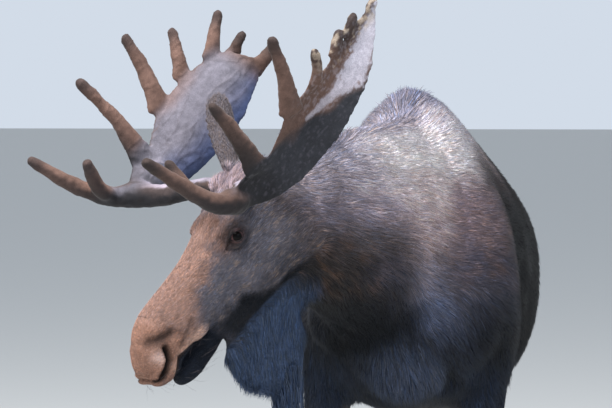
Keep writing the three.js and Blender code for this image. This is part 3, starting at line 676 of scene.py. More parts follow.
def eye_axes(side):
    """Centre, then three axes as rows: towards the front corner, up, outward."""
    out = unit(mirrored(EYE_OUT, side))
    along = np.asarray(EYE_LONG) - np.dot(EYE_LONG, out) * out
    along = unit(along)
    up = np.cross(out, along) * side
    up = up * np.sign(up[2])
    centre = mirrored([0, 0.104 - EYE_DEPTH, 0], side)
    return from_head(centre), np.stack([along, up, out]) @ HEAD_AXES

def lid_height(x, y, local):
    """Height of the hide over the eye's plane: an average of the hide's own
    points weighted by exp of minus the squared distance."""
    d2 = (x[..., None] - local[:, 0]) ** 2 + (y[..., None] - local[:, 1]) ** 2
    w = np.exp(-d2 / 0.0045**2) + 1e-30
    return (w * local[:, 2]).sum(-1) / w.sum(-1)

def lid_rings(side, hide):
    """Rings from inside the eye to the outer edge. The lid follows a ball a little
    larger than the eye, and melts into the hide with growing distance."""
    centre, axes = eye_axes(side)
    local = (hide - centre) @ axes.T
    near = (np.linalg.norm(local[:, :2], axis=1) < 0.07) & (local[:, 2] > -0.035)
    local = local[near]
    c, s = angles(RING_POINTS)
    tall = np.where(s > 0, LID_UPPER, LID_LOWER)
    edge = np.stack([LID_LONG * c, tall * np.sign(s) * np.abs(s) ** 1.25], -1)
    rim = np.stack([LID_RING[0] * c, LID_RING[1] * s], -1)
    # share of the way from the lid's edge to the rim, and the ball's growth there
    share = np.array([-0.16, -0.05, 0.0, 0.03, 0.07, 0.13, 0.20, 0.28, 0.36, 0.46, 0.58, 0.72, 0.86, 1.0])
    grow = np.array([-6.0, -2.5, 0.25, 1.5, 2.7, 3.3, 3.0, 1.7, 2.2, 3.2, 3.0, 2.0, 1.0, 0.0]) / 1000
    flat = edge + share[:, None, None] * (rim - edge)
    x, y = flat[..., 0], flat[..., 1]
    ball = np.sqrt(np.maximum((EYE_RADIUS + grow[:, None]) ** 2 - x * x - y * y, 1e-6))
    base = lid_height(x, y, local)
    melt = smoothstep(0.24, 0.80, share)[:, None]
    z = ball * (1 - melt) + (base + grow[:, None] * 0.5) * melt
    z = np.where(share[:, None] >= 1, base, z)
    rings = np.stack([x, y, z], -1) @ axes + centre
    return rings

print("the lids' long half-size:", LID_LONG, "m on a ball of", EYE_RADIUS, "m")

# %% Open the hide and sew in the lids
def open_and_sew(head, side):
    """Cuts the hide open inside the ellipse x over a squared plus y over b squared
    less than one, and bridges the cut to the lid ring."""
    rings = lid_rings(side, points_of(head.data))
    centre, axes = eye_axes(side)
    points, _ = closed_skin(rings)
    bm = bmesh.new()
    bm.from_mesh(head.data)
    bm.verts.ensure_lookup_table()
    local = (points_of(head.data) - centre) @ axes.T
    inside = ((local[:, 0] / LID_RING[0]) ** 2 + (local[:, 1] / LID_RING[1]) ** 2 < 1.0)
    inside &= local[:, 2] > -0.03
    bmesh.ops.delete(bm, geom=[bm.verts[i] for i in np.flatnonzero(inside)], context="VERTS")
    hole = [e for e in bm.edges if e.is_boundary]
    quads, fans = ring_faces(*rings.shape[:2])
    count = rings.shape[0] * rings.shape[1]
    first = [bm.verts.new(p) for p in points[:count + 1]]
    for q in quads.tolist():
        bm.faces.new([first[i] for i in q])
    for q in fans[:rings.shape[1]].tolist():
        bm.faces.new([first[i] for i in q])
    start = count - rings.shape[1]
    outer = [bm.edges.get((first[start + i], first[start + (i + 1) % rings.shape[1]]))
             for i in range(rings.shape[1])]
    bmesh.ops.bridge_loops(bm, edges=hole + outer)
    bmesh.ops.recalc_face_normals(bm, faces=bm.faces)
    open_edges = sum(e.is_boundary for e in bm.edges)
    bm.to_mesh(head.data)
    bm.free()
    return open_edges

for side in SIDES.values():
    print("edges left open after sewing a lid:", open_and_sew(head, side))

# %% [markdown]
# ## Mouth, nostrils and wrinkles
# The creases are lines seen from the side of the face. A point's distance to the
# line decides how far it is pressed in, with a soft roll on both banks.

# %% Creases and hollows of the face
# name: width, depth, then the line's points as forward, up
CREASES = {
    "mouth": (0.0045, 0.010, [[0.236, -0.140], [0.268, -0.135], [0.320, -0.119], [0.364, -0.106],
                              [0.392, -0.128], [0.416, -0.150], [0.440, -0.154]]),
    "nostril": (0.0085, 0.024, [[0.374, -0.056], [0.380, -0.070], [0.391, -0.088], [0.414, -0.101],
                                [0.436, -0.107]]),
    "nostril tail": (0.0050, 0.010, [[0.436, -0.107], [0.449, -0.108], [0.458, -0.101]]),
    "over nostril": (0.0130, 0.0080, [[0.396, -0.010], [0.374, -0.022], [0.350, -0.034], [0.326, -0.042]]),
    "behind nostril": (0.0070, 0.005, [[0.256, -0.070], [0.295, -0.082], [0.334, -0.090]]),
    "under eye": (0.0060, 0.004, [[0.046, -0.010], [0.022, -0.034], [-0.012, -0.040], [-0.040, -0.026]]),
    "tear line": (0.0050, 0.004, [[0.022, 0.002], [0.034, -0.003], [0.044, -0.010]]),
    "jaw": (0.0140, 0.006, [[-0.150, -0.150], [-0.070, -0.190], [0.040, -0.172], [0.140, -0.150]]),
}

def press_creases(mesh):
    """A point moves in by depth times exp of minus the squared distance over the
    width, less a small roll on the bank about two widths away."""
    points = points_of(mesh)
    local = to_head(points)
    normal = normals_of(mesh)
    sideways = smoothstep(0.25, 0.7, np.abs(normal @ LEFT))
    sideways = np.maximum(sideways, smoothstep(0.39, 0.42, local[:, 0]))
    beyond = smoothstep(0.10, 0.08, np.abs(local[:, 1]) - 0.02)
    move = np.zeros(len(points))
    for width, depth, line in CREASES.values():
        d = line_distance(local[:, [0, 2]], line) / width
        move += depth * (np.exp(-d * d) - 0.16 * np.exp(-((d - 2.1) / 0.8) ** 2))
    ears = local[:, 0] < -0.15
    move = np.where(ears, 0, move * sideways * beyond)
    inward = unit(-normal * 0.55 - LEFT * np.sign(local[:, 1])[:, None] * 0.45)
    move_points(mesh, points + inward * move[:, None])
    return mesh

press_creases(head.data)
print("pressed", len(CREASES), "lines into each side of the face")

# %% [markdown]
# ## One hide
# Head and body are joined with a Boolean, and the hard line where they meet is
# then relaxed, so that the hide runs on without a seam.

# %% Join and relax
SEAM_REACH, SEAM_ROUNDS = 0.055, 90

def near_marks(points, marks, reach):
    """Share from 1 at a mark to 0 at the given distance. The distances to all marks
    are worked out for one block of points at a time, to spare memory."""
    blocks = np.array_split(points, 1 + len(points) // 2000)
    least = [np.sqrt(((block[:, None] - marks) ** 2).sum(2).min(1)) for block in blocks]
    return smoothstep(reach, reach * 0.3, np.concatenate(least))

def whole_rows(points):
    """Each point rounded to a micrometre and read as one run of bytes, so that whole
    points can be compared at once."""
    return np.ascontiguousarray(points.round(6).astype(np.float32)).view("V12").ravel()

def unite(body, head):
    """Union of two closed meshes; the line where they met is found from points
    that belong to neither."""
    before = np.concatenate([points_of(body.data), points_of(head.data)])
    skin = apply_modifier(body, "BOOLEAN", operation="UNION", solver="MANIFOLD", object=head)
    bpy.data.objects.remove(head)
    after = points_of(skin.data)
    fresh = ~np.isin(whole_rows(after), whole_rows(before))
    return skin, after[fresh]

skin, seam = unite(body, head)
close = near_marks(points_of(skin.data), seam, SEAM_REACH)
relax(skin.data, close, SEAM_ROUNDS)
print("skin:", len(skin.data.vertices), "points; seam of", len(seam))

# %% [markdown]
# ## Antlers
# Growing antlers wear velvet: a fuzzy skin over bone, with the veins that feed it
# standing out on the palm. Each side is one grown piece, so its beam, brow tines,
# palm and palm tines are melted together and then given lumps and veins.

# %% Antler tables, metres in the head's frame, drawn for the left side
BEAM_PATH = np.array([[-0.128, 0.062, 0.038], [-0.112, 0.100, 0.066], [-0.078, 0.165, 0.092],
                      [-0.034, 0.232, 0.118], [-0.006, 0.300, 0.150]])
BEAM_RADII = np.array([0.031, 0.033, 0.029, 0.032, 0.040])
# lower edge, upper edge and thickness of the blade, from the fork to its rear end
PALM = np.array([
    [0.004, 0.300, 0.124, -0.008, 0.316, 0.184, 0.040],
    [-0.080, 0.312, 0.072, -0.062, 0.352, 0.196, 0.025],
    [-0.165, 0.326, 0.046, -0.140, 0.374, 0.190, 0.018],
    [-0.270, 0.337, 0.044, -0.235, 0.392, 0.226, 0.014],
    [-0.372, 0.347, 0.058, -0.330, 0.398, 0.236, 0.013],
    [-0.505, 0.361, 0.102, -0.440, 0.388, 0.230, 0.013],
])
PALM_END = {
    "left": np.array([[-0.600, 0.396, 0.162, -0.545, 0.388, 0.238, 0.012],
                      [-0.658, 0.402, 0.218, -0.642, 0.392, 0.244, 0.010]]),
    "right": np.array([[-0.572, 0.318, 0.118, -0.524, 0.366, 0.200, 0.013]]),
}
PALM_REAR = {"left": [-0.006, 0.032, 0.002], "right": [-0.022, -0.046, -0.026]}
PALM_CUP = 0.026
BROW_TINES = 2  # the first two tines of each list grow from the brow fork
# Each tine: three or four places, then their radii, in millimetres
TINES = {
    "left": [
        ([[-16, 300, 150], [46, 326, 200], [90, 348, 318], [119, 359, 452]], [42, 30, 24, 17]),
        ([[40, 318, 196], [66, 290, 270], [44, 255, 356]], [25, 24, 17]),
        ([[-92, 356, 172], [-108, 394, 310], [-112, 411, 424]], [34, 24, 16]),
        ([[-262, 392, 214], [-318, 422, 320], [-356, 446, 424]], [34, 22, 16]),
        ([[-362, 396, 214], [-404, 418, 256], [-428, 432, 298]], [22, 16, 14]),
        ([[-470, 386, 222], [-506, 388, 246], [-536, 390, 262]], [18, 15, 13]),
        ([[-545, 388, 224], [-572, 394, 250], [-600, 398, 260]], [15, 15, 12]),
        ([[-630, 394, 224], [-652, 398, 237], [-672, 400, 242]], [15, 15, 14]),
    ],
    "right": [
        ([[-16, 300, 150], [46, 326, 200], [96, 352, 306], [128, 368, 446]], [42, 30, 24, 17]),
        ([[40, 318, 196], [66, 290, 262], [48, 262, 348]], [25, 24, 17]),
        ([[-104, 350, 160], [-146, 382, 318], [-152, 402, 470]], [38, 22, 16]),
        ([[-262, 392, 214], [-322, 424, 322], [-362, 446, 432]], [34, 24, 16]),
        ([[-375, 395, 222], [-437, 424, 284], [-476, 440, 334]], [29, 21, 16]),
        ([[-470, 372, 206], [-548, 384, 250], [-602, 391, 277]], [27, 20, 16]),
        ([[-531, 364, 168], [-576, 358, 184], [-598, 354, 190]], [23, 16, 14]),
        ([[-530, 334, 104], [-596, 322, 100], [-640, 314, 110]], [28, 21, 16]),
    ],
}

print("tines to a side:", {name: len(rows) for name, rows in TINES.items()})

# %% Antler forms
ANTLER_VOXEL = 0.0042
LUMP_HEIGHT, PIMPLE_HEIGHT, VEIN_HEIGHT = 0.0022, 0.0012, 0.0016

def rod_grid(path, radii, side, root_flat=0, rings=48, sides=28):
    """Round section along a smooth path, closed by a half ball: past the last
    place the radius falls as the root of one less t squared. A tine's root is
    broad and flat, as the palm that it grows out of."""
    path = mirrored(path, side)
    radii = np.asarray(radii, float)
    t = np.linspace(0, 1, rings)
    body = smooth_rows(np.column_stack([path, radii]), t * (len(path) - 1))
    cap = np.linspace(0, 0.985, 9)[1:]
    end = unit(path[-1] - path[-2])
    tip = body[-1, :3] + end * (cap * radii[-1])[:, None] * 0.9
    tip = np.column_stack([tip, radii[-1] * np.sqrt(1 - cap**2)])
    rows = np.concatenate([body, tip])
    k = np.linspace(0, 1, len(rows))
    r = rows[:, 3] * np.sqrt(smoothstep(-0.02, 0.10, k))
    flat = r * (1 - 0.76 * root_flat * smoothstep(0.42, 0.0, k))
    broad = r * (1 + 0.40 * root_flat * smoothstep(0.35, 0.0, k))
    return carried_grid(np.column_stack([rows[:, :3], broad, flat, flat]), [0.03, side, 0.01], sides)

def palm_grid(name, rings=120, sides=96):
    """Flat rings from the lower edge to the upper one, bowed by one less cosine
    squared so that the blade is cupped."""
    side = SIDES[name]
    rows = np.concatenate([PALM, PALM_END[name]])
    share = np.zeros(len(rows))
    share[:len(PALM)] = smoothstep(1, len(PALM) - 1, np.arange(len(PALM)))
    rows[:, :3] += np.outer(share, PALM_REAR[name])
    rows = smooth_rows(rows, np.linspace(0, len(rows) - 1, rings))
    low, high = mirrored(rows[:, :3], side), mirrored(rows[:, 3:6], side)
    middle, across = (low + high) / 2, (high - low) / 2
    along = np.gradient(middle, axis=0)
    normal = unit(np.cross(across, along)) * side
    c, s = angles(sides)
    cup = PALM_CUP * (1 - c * c) * (np.linalg.norm(across, axis=1) / 0.09)[:, None]
    thick = rows[:, 6:7] / 2 * squared(s, 2.6)
    return middle[:, None] + across[:, None] * c[:, None] + normal[:, None] * (thick + cup)[..., None]

print("rings of a palm:", len(palm_grid("left")))

# %% Noise, veins and whole antlers
def lattice(ix, iy, iz, seed):
    """A repeatable number from 0 to 1 for each lattice point, from whole-number mixing."""
    h = (ix * 73856093) ^ (iy * 19349663) ^ (iz * 83492791) ^ (seed * 2654435)
    h = (h ^ (h >> 13)) * 1274126177
    return ((h ^ (h >> 16)) & 0xFFFFF) / 0xFFFFF

def noise(points, size, seed=1):
    """Smooth noise, -1 to 1: the eight lattice corners round a point, mixed by
    smoothed shares."""
    q = np.asarray(points) / size
    i = np.floor(q).astype(np.int64)
    u = q - i
    u = u * u * (3 - 2 * u)
    total = 0
    for dx in (0, 1):
        for dy in (0, 1):
            for dz in (0, 1):
                w = ((u[:, 0] if dx else 1 - u[:, 0]) * (u[:, 1] if dy else 1 - u[:, 1])
                     * (u[:, 2] if dz else 1 - u[:, 2]))
                total = total + w * lattice(i[:, 0] + dx, i[:, 1] + dy, i[:, 2] + dz, seed)
    return total * 2 - 1

def vein_height(local):
    """Veins run from the fork out over the palm: thin ridges where a bent noise
    passes through nought."""
    bent = local * [0.35, 1, 1] + 0.02 * noise(local, 0.08, 5)[:, None]
    n = noise(bent, 0.022, 6)
    return np.exp(-(n / 0.10) ** 2)

def make_antler(name):
    """Beam, palm and tines melted together; each point then moves out by two sizes
    of noise and, behind the fork, by the veins."""
    side = SIDES[name]
    grids = [rod_grid(BEAM_PATH, BEAM_RADII, side), palm_grid(name)]
    for number, (path, radii) in enumerate(TINES[name]):
        on_palm = 1 if number >= BROW_TINES else 0
        grids.append(rod_grid(np.array(path) / 1000, np.array(radii) / 1000, side, on_palm))
    blanks = [outward(new_object("blank", *closed_skin(from_head(g)))) for g in grids]
    antler = join_objects("antler_" + name + "_velvet", blanks)
    apply_modifier(antler, "REMESH", mode="VOXEL", voxel_size=ANTLER_VOXEL, adaptivity=0.0)
    apply_modifier(antler, "SMOOTH", factor=0.5, iterations=34)
    points, normal = points_of(antler.data), normals_of(antler.data)
    local = to_head(points)
    palm = smoothstep(0.0, -0.10, local[:, 0])
    lumps = LUMP_HEIGHT * noise(local, 0.035, 3) + PIMPLE_HEIGHT * noise(local, 0.014, 4)
    veins = vein_height(local) * VEIN_HEIGHT * palm
    move_points(antler.data, points + normal * (lumps + veins)[:, None])
    return antler

antlers = {name: make_antler(name) for name in SIDES}
for name, antler in antlers.items():
    print(antler.name, len(antler.data.vertices), "points")

# %% [markdown]
# ## Hooves and dewclaws
# A hoof is a horn shoe with faint growth rings, longer in front than behind. The
# dewclaws are smaller cones behind the pastern.

# %% Feet
# height, half-width, reach forward, reach back, lean of the middle
TOE = np.array([
    [0.000, 0.0270, 0.088, 0.058, -0.006],
    [0.026, 0.0280, 0.082, 0.060, -0.003],
    [0.058, 0.0270, 0.056, 0.054, 0.002],
    [0.092, 0.0220, 0.030, 0.040, 0.012],
])
TOE_SPREAD, TOE_SETBACK = 0.030, -0.014
DEWCLAW_OUT, DEWCLAW_BACK, DEWCLAW_LEVEL = 0.024, 0.056, 0.128
DEWCLAW_SIZE, DEWCLAW_TILT = (0.0125, 0.0165, 0.0295), math.radians(-25)

def foot_middle(end, side):
    """The point on the floor under the last row of a leg's table."""
    table = leg_table(end, side)
    return np.array([side * (SPREAD[end] + SPLAY[end, side]), table[-1, 1], 0]) + HUMP

def toe_grid(place, out, rings=46, sides=48):
    """Hoof rings from the flat sole up; every few millimetres the wall swells by
    the sine of its height, as horn grows in rings."""
    z = np.concatenate([[0, 0.0015], np.linspace(0.004, 0.092, rings)])
    r = smooth_rows(TOE, np.interp(z, TOE[:, 0], np.arange(len(TOE))))
    ripple = 0.0005 * np.sin(z / 0.0065 * 2 * np.pi) * smoothstep(0.004, 0.02, z)
    pull = np.where(z < 0.001, 0.0015, 0.0) - ripple
    half, front, back, lean = r[:, 1] - pull, r[:, 2] - pull, r[:, 3] - pull, r[:, 4]
    c, s = angles(sides)
    n = np.where(s >= 0, 1.5, 2.4)
    reach = np.where(s >= 0, front[:, None], back[:, None])
    x = place[0] + out * TOE_SPREAD + half[:, None] * squared(c, n)
    y = place[1] + TOE_SETBACK + lean[:, None] - reach * squared(s, n)
    return np.stack([x, y, np.broadcast_to(z[:, None], x.shape)], -1)

def dewclaw_grid(place, out):
    """An ellipsoid with its poles above and below, tilted back."""
    grid = ball_grid([0, 0, 0], [DEWCLAW_SIZE[2], DEWCLAW_SIZE[0], DEWCLAW_SIZE[1]], 20, 24)
    grid = grid[..., [1, 2, 0]]
    turn = np.array(Matrix.Rotation(DEWCLAW_TILT, 3, "X"))
    return grid @ turn.T + place + [out * DEWCLAW_OUT, DEWCLAW_BACK, DEWCLAW_LEVEL]

feet = []
for end in SPREAD:
    for name, side in SIDES.items():
        for toe, out in (("inner", -side), ("outer", side)):
            place = foot_middle(end, side)
            grids = {"hoof": toe_grid(place, out), "dewclaw": dewclaw_grid(place, out)}
            for kind, grid in grids.items():
                node = f"{kind}_{end}_{name}_{toe}"
                foot = outward(new_object(node + "_horn", *closed_skin(grid)))
                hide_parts(node)
                feet.append(foot)
print("horn pieces:", len(feet))

# %% [markdown]
# ## Eyeballs
# The ball is dark brown round a wide level pupil, with a paler ring at its edge
# that shows pink in the corners. A clear cornea is the coat of the shader.

# %% Eyeballs
def eyeball_grid(rings=64, sides=72):
    """Ball about its outward axis with a low swelling for the cornea."""
    lat = np.linspace(-np.pi / 2, np.pi / 2, rings + 2)[1:-1]
    c, s = angles(sides)
    radius = EYE_RADIUS * (1 + 0.035 * smoothstep(0.75, 1.25, lat))
    ring, rise = (np.cos(lat) * radius)[:, None], (np.sin(lat) * radius)[:, None]
    return np.stack([ring * c, ring * s, rise + 0 * c], -1)

def set_colour(mesh, name, colours):
    """Lays a colour on every point, as a named attribute."""
    layer = mesh.attributes.new(name, "FLOAT_COLOR", "POINT")
    rgba = np.column_stack([colours, np.ones(len(colours))])
    layer.data.foreach_set("color", rgba.astype(np.float32).ravel())

IRIS, PUPIL = np.array([0.0030, 0.0024, 0.0024]), np.array([0.0008, 0.0009, 0.0014])
WHITE = np.array([0.085, 0.046, 0.047])
PUPIL_SIZE, IRIS_EDGE = (0.0060, 0.0036), (0.0128, 0.0148)

eyes = {}
for name, side in SIDES.items():
    centre, axes = eye_axes(side)
    points, faces = closed_skin(eyeball_grid())
    eye = outward(new_object("eye_" + name + "_ball", points @ axes + centre, faces))
    x, y, out = points.T
    behind = 10 * (out < 0)
    streak = 0.7 + 0.3 * np.sin(np.arctan2(y, x) * 40)
    tone = IRIS * streak[:, None]
    tone += (WHITE - tone) * smoothstep(*IRIS_EDGE, np.hypot(x, y) + behind)[:, None]
    pupil = np.hypot(x / PUPIL_SIZE[0], y / PUPIL_SIZE[1]) + behind
    tone += (PUPIL - tone) * smoothstep(1.05, 0.95, pupil)[:, None]
    set_colour(eye.data, "iris", tone)
    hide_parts("eye_" + name)
    eyes[name] = eye
print("eyes:", list(eyes))

# %% [markdown]
# ## Markings
# Hide and coat share one map of colours. Every shade is a named colour, mixed in
# by a soft mask over the body: pale hairs on the hump, made paler by painted
# highlight, rust on the neck and shoulder, black below with a painted blue
# reflection of the sky, a warm bridge to the nose, grey cheeks and shanks. Painted
# shade darkens folds, creases, undersides and the sides that turn away.

# %% Named colours
def shade(red, green, blue):
    """Display values of 0 to 255 to linear light, by the usual power curve."""
    v = np.array([red, green, blue]) / 255
    return np.where(v <= 0.04045, v / 12.92, ((v + 0.055) / 1.055) ** 2.4)

# The blue of the dark tones, BAND_LOW, CREST_BLUE, SLATE, BLUE_BLACK, BLACK and BELL_BLUE, is a painted
# reflection of the sky on dark hair; the flank's near-black is dark hair deepened by painted shade.
BAND_TOP, BAND_LOW, CREST_BLUE = shade(196, 182, 192), shade(92, 99, 122), shade(84, 86, 108)
SHOULDER_GREY, SHOULDER_LOW, UMBER = shade(128, 112, 120), shade(88, 84, 98), shade(98, 90, 95)
RUST, SLATE, BLUE_BLACK, DARK = shade(112, 82, 62), shade(62, 70, 88), shade(37, 46, 63), shade(34, 29, 30)
BLACK, BELL_BLUE, FLANK_DARK_AND_SHADE = shade(4, 9, 16), shade(48, 60, 81), shade(13, 16, 21)
BRIDGE, NOSE, WING_HIGHLIGHT = shade(134, 106, 96), shade(124, 91, 76), shade(182, 156, 148)
LIP, PINK, BROW_BROWN = shade(172, 141, 126), shade(110, 82, 82), shade(84, 63, 56)
GOLD = shade(136, 113, 92)
CHEEK, POLL, SHANK = shade(92, 90, 99), shade(120, 105, 110), shade(118, 108, 102)
EAR_GREY = shade(86, 79, 82)

print("a mid grey of 128 is", shade(128, 128, 128).round(3), "in linear light")

# %% Masks
def mix(base, colour, mask):
    """The base plus the mask's share of the way to the colour."""
    return base + (colour - base) * np.clip(mask, 0, 1)[:, None]

def bell_share(p):
    """One on the hanging fold of the throat: near its middle line and below the jaw."""
    x, y, z = p.T
    ahead = -(x + 0.35) * 0.61 - (y + 0.625) * 0.79
    aside = np.abs((x + 0.35) * 0.79 - (y + 0.625) * 0.61)
    return smoothstep(1.36, 1.28, z) * smoothstep(0.10, 0.075, aside) * smoothstep(-0.15, -0.10, ahead)

def crest_line(y):
    """Sideways place of the middle of the neck at a given distance back."""
    return np.interp(y, NECK[::-1, 1], NECK[::-1, 0])

def spot(p, centre, size):
    """Soft round patch: exp of minus the squared distance over its half-sizes."""
    return np.exp(-(((p - centre) / size) ** 2).sum(1))

def by_height(level, ladder):
    """Straight-line mixing between the colours of the nearest heights."""
    heights = [h for h, _ in ladder]
    tones = np.array([tone for _, tone in ladder])
    return np.stack([np.interp(level, heights, tones[:, k]) for k in range(3)], -1)

print("half a metre ahead of the hump the neck's middle is at x =", round(float(crest_line(-0.5)), 3))

# %% Markings of the body
# Colours by height over the floor, of the chest and hump and then of the fore neck,
# and the line of a pale band that runs down the chest. The palest tones, high on
# the hump and fore neck, are pale hair made paler by painted highlight; the blue of
# the low tones is a painted reflection of the sky.
LADDER = ((1.00, shade(37, 46, 63)), (1.10, shade(29, 34, 45)), (1.18, shade(32, 35, 44)),
          (1.25, shade(56, 57, 68)), (1.32, shade(80, 76, 83)), (1.38, shade(106, 96, 101)),
          (1.445, shade(174, 154, 156)), (1.54, shade(206, 185, 187)), (1.64, shade(238, 222, 224)),
          (1.71, shade(234, 219, 224)), (1.79, shade(192, 182, 192)), (1.87, shade(120, 121, 144)))
NECK_LADDER = ((1.20, shade(12, 17, 22)), (1.31, shade(38, 37, 39)), (1.38, shade(56, 51, 51)),
               (1.44, shade(84, 78, 82)), (1.52, shade(144, 134, 145)), (1.60, shade(174, 163, 172)),
               (1.68, shade(158, 153, 166)))
PALE_BAND = np.array([[0.006, 1.420], [0.030, 1.377], [0.060, 1.311], [0.105, 1.245], [0.115, 1.190]])

def forequarters(p, patch, cloud, level):
    """Ladder of the chest, giving way to that of the fore neck, then the greyer
    shoulders with painted shade at their outer edge, and the pale band down the chest."""
    x, y, z = p.T
    c = by_height(level, LADDER)
    c = c + (by_height(level, NECK_LADDER) - c) * smoothstep(-0.34, -0.52, y)[:, None]
    shoulder = smoothstep(0.07, 0.16, np.abs(x) + 0.03 * patch) * smoothstep(-0.38, -0.22, y)
    shoulder = shoulder * smoothstep(1.24, 1.34, z) * smoothstep(1.68, 1.52, z + 0.02 * cloud)
    tone = mix(np.broadcast_to(SHOULDER_GREY, p.shape), SHOULDER_LOW, smoothstep(1.46, 1.34, z))
    # painted shade: the shoulder darkens towards its outer edge, where it turns away
    tone = tone * (1 - 0.35 * smoothstep(0.17, 0.24, x))[:, None]
    c = mix(c, tone, shoulder * 0.88)
    band = line_distance(p[:, [0, 2]], PALE_BAND) + 0.020 * cloud + 0.012 * patch
    band_tone = mix(np.broadcast_to(BAND_LOW, p.shape), BAND_TOP, smoothstep(1.22, 1.43, z))
    ahead = smoothstep(0.1, -0.1, y) * smoothstep(-0.46, -0.36, y)
    return mix(c, band_tone, np.exp(-(band / 0.055) ** 2) * ahead * 0.85)

def crest_hair_sheen_and_shade(c, p, normal):
    """Blue-grey along the crest, a painted sky reflection on its dark hair, and painted shade on the steep
    right slope of the hump.
    """
    x, y, z = p.T
    # the crest's dark hair, made blue where it faces up by a painted reflection of the sky
    ridge = smoothstep(0.085, 0.02, np.abs(x - crest_line(y))) * smoothstep(0.10, 0.55, normal[:, 2])
    c = mix(c, CREST_BLUE, ridge * smoothstep(0.16, 0.04, y) * (z > 1.5) * 0.66)
    # painted shade on the hump's steep right slope, which turns away
    slope = smoothstep(-0.25, -0.65, normal[:, 0]) * smoothstep(1.50, 1.62, z)
    return mix(c, CREST_BLUE, slope * 0.6)

def dark_rear_and_shade(c, p, normal, patch, cloud):
    """Near-black flanks and haunches, dark hair deepened by painted shade: past a
    wavering line behind the shoulder, and, as painted shade, wherever the side of
    the body turns away."""
    y, z = p[:, 1], p[:, 2]
    # painted shade where the side of the body turns away
    turn = 0.16 * smoothstep(1.38, 1.54, z)
    side = smoothstep(0.58, 0.80, np.abs(normal[:, 0]) - turn)
    side = side * smoothstep(-0.15, 0.03, y + 0.07 * patch + 0.04 * cloud)
    flank = np.maximum(smoothstep(0.04, 0.30, y + 0.07 * patch + 0.05 * cloud), side)
    rear = mix(np.broadcast_to(FLANK_DARK_AND_SHADE, p.shape), DARK * 1.3, smoothstep(1.40, 1.62, z + 0.03 * patch))
    return mix(c, rear, flank)

def leg_markings(c, p, normal, patch):
    """Pale grey-brown shanks and inner thighs, dark round the hooves."""
    x, _, z = p.T
    c = mix(c, SHANK, smoothstep(0.72, 0.52, z + 0.03 * patch) * 0.85)
    inner = smoothstep(0.35, 0.9, -normal[:, 0] * np.sign(x))
    c = mix(c, SHANK, inner * smoothstep(1.0, 0.85, z) * smoothstep(0.5, 0.7, z) * 0.6)
    return mix(c, DARK, 0.6 * smoothstep(0.14, 0.08, z))

print("points on the pale band:", len(PALE_BAND))

# %% The body's markings together
def body_markings_and_shade(points, normal):
    """Forequarters, rust, crest, dark rear, black patches of painted shadow, painted
    shade on the far side, a slate patch, painted shade in the folds, under the belly
    and on the upper legs, then bell and legs, each laid over the last, and all
    mottled by noise."""
    p = points - HUMP
    x, y, z = p.T
    grain = noise(p * [1, 0.4, 0.7], 0.024, 11)
    patch = noise(p, 0.16, 12)
    cloud = noise(p, 0.07, 16)
    streak = noise(p * [1, 0.3, 0.55], 0.011, 19)
    c = forequarters(p, patch, cloud, z + 0.024 * patch + 0.022 * cloud + 0.018 * grain)
    rusty = smoothstep(0.02, -0.10, x) + 0.7 * smoothstep(0.10, 0.18, x)
    rusty = rusty * smoothstep(1.25, 1.35, z) * smoothstep(1.62, 1.48, z)
    c = mix(c, RUST, 0.4 * smoothstep(-0.1, 0.6, streak + 0.6 * cloud) * rusty)
    c = crest_hair_sheen_and_shade(c, p, normal)
    c = dark_rear_and_shade(c, p, normal, patch, cloud)
    # painted shadow under the neck, between the brisket and the right foreleg
    c = mix(c, BLACK * 0.7, 0.97 * spot(p, [-0.12, -0.24, 1.135], [0.16, 0.30, 0.115]))
    # painted shadow low on the left shoulder, above the left foreleg
    c = mix(c, BLACK, 0.92 * spot(p, [0.25, -0.08, 1.09], [0.085, 0.24, 0.12]))
    # painted shade under the neck
    c = mix(c, BLACK, smoothstep(1.27, 1.18, z) * smoothstep(-0.30, -0.46, y) * 0.7)
    c = mix(c, SHOULDER_LOW * 1.3, 0.95 * spot(p, [-0.045, -0.30, 1.35], [0.06, 0.20, 0.05]))
    # painted shade over the animal's right side of the neck and hump
    far = smoothstep(-0.16, -0.24, x + 0.1 * y) * smoothstep(1.32, 1.42, z)
    c = c * (1 - 0.35 * far)[:, None]
    # slate-blue patch on the lower brisket, its blue a painted reflection of the sky
    c = mix(c, SLATE, 0.9 * spot(p, [0.02, -0.32, 1.045], [0.13, 0.12, 0.075]))
    # painted shade in the folds of the hide
    c = mix(c, BLACK, 0.8 * fold_share(points))
    # painted shade on the undersides that face down
    c = mix(c, BLACK, 0.7 * smoothstep(-0.3, -0.8, normal[:, 2]) * smoothstep(1.3, 1.1, z))
    # painted shade on the outsides of the upper forelegs, blue by a painted sky reflection
    outer = smoothstep(1.12, 1.02, z) * smoothstep(0.12, 0.18, np.abs(x)) * smoothstep(0.5, 0.3, y)
    c = mix(c, BLUE_BLACK * 0.7, 0.7 * outer)
    # the bell's dark hair, blue by a painted reflection of the sky
    c = mix(c, BELL_BLUE, bell_share(p))
    c = leg_markings(c, p, normal, patch)
    return c * (1 + 0.18 * grain + 0.08 * patch + 0.16 * streak)[:, None]

print("tones up the chest:", len(LADDER), "and up the fore neck:", len(NECK_LADDER))

# %% Markings of the face
# Places along the head, and the level there of an edge between two colours
TAN_EDGE = ([-0.06, 0.05, 0.15, 0.27], [0.030, 0.022, -0.012, -0.055])
JAW_EDGE = ([-0.15, -0.05, 0.05, 0.12, 0.20], [-0.242, -0.224, -0.182, -0.148, -0.134])
LIP_EDGE = ([0.236, 0.268, 0.320, 0.364, 0.392, 0.42], [-0.143, -0.137, -0.121, -0.108, -0.130, -0.152])
LIP_LINE = [[0.39, -0.118], [0.31, -0.108], [0.262, -0.114]]

def oval(f, u, centre, size):
    """Soft oval seen from the side: exp of minus the squared distance."""
    return np.exp(-(((f - centre[0]) / size[0]) ** 2 + ((u - centre[1]) / size[1]) ** 2))

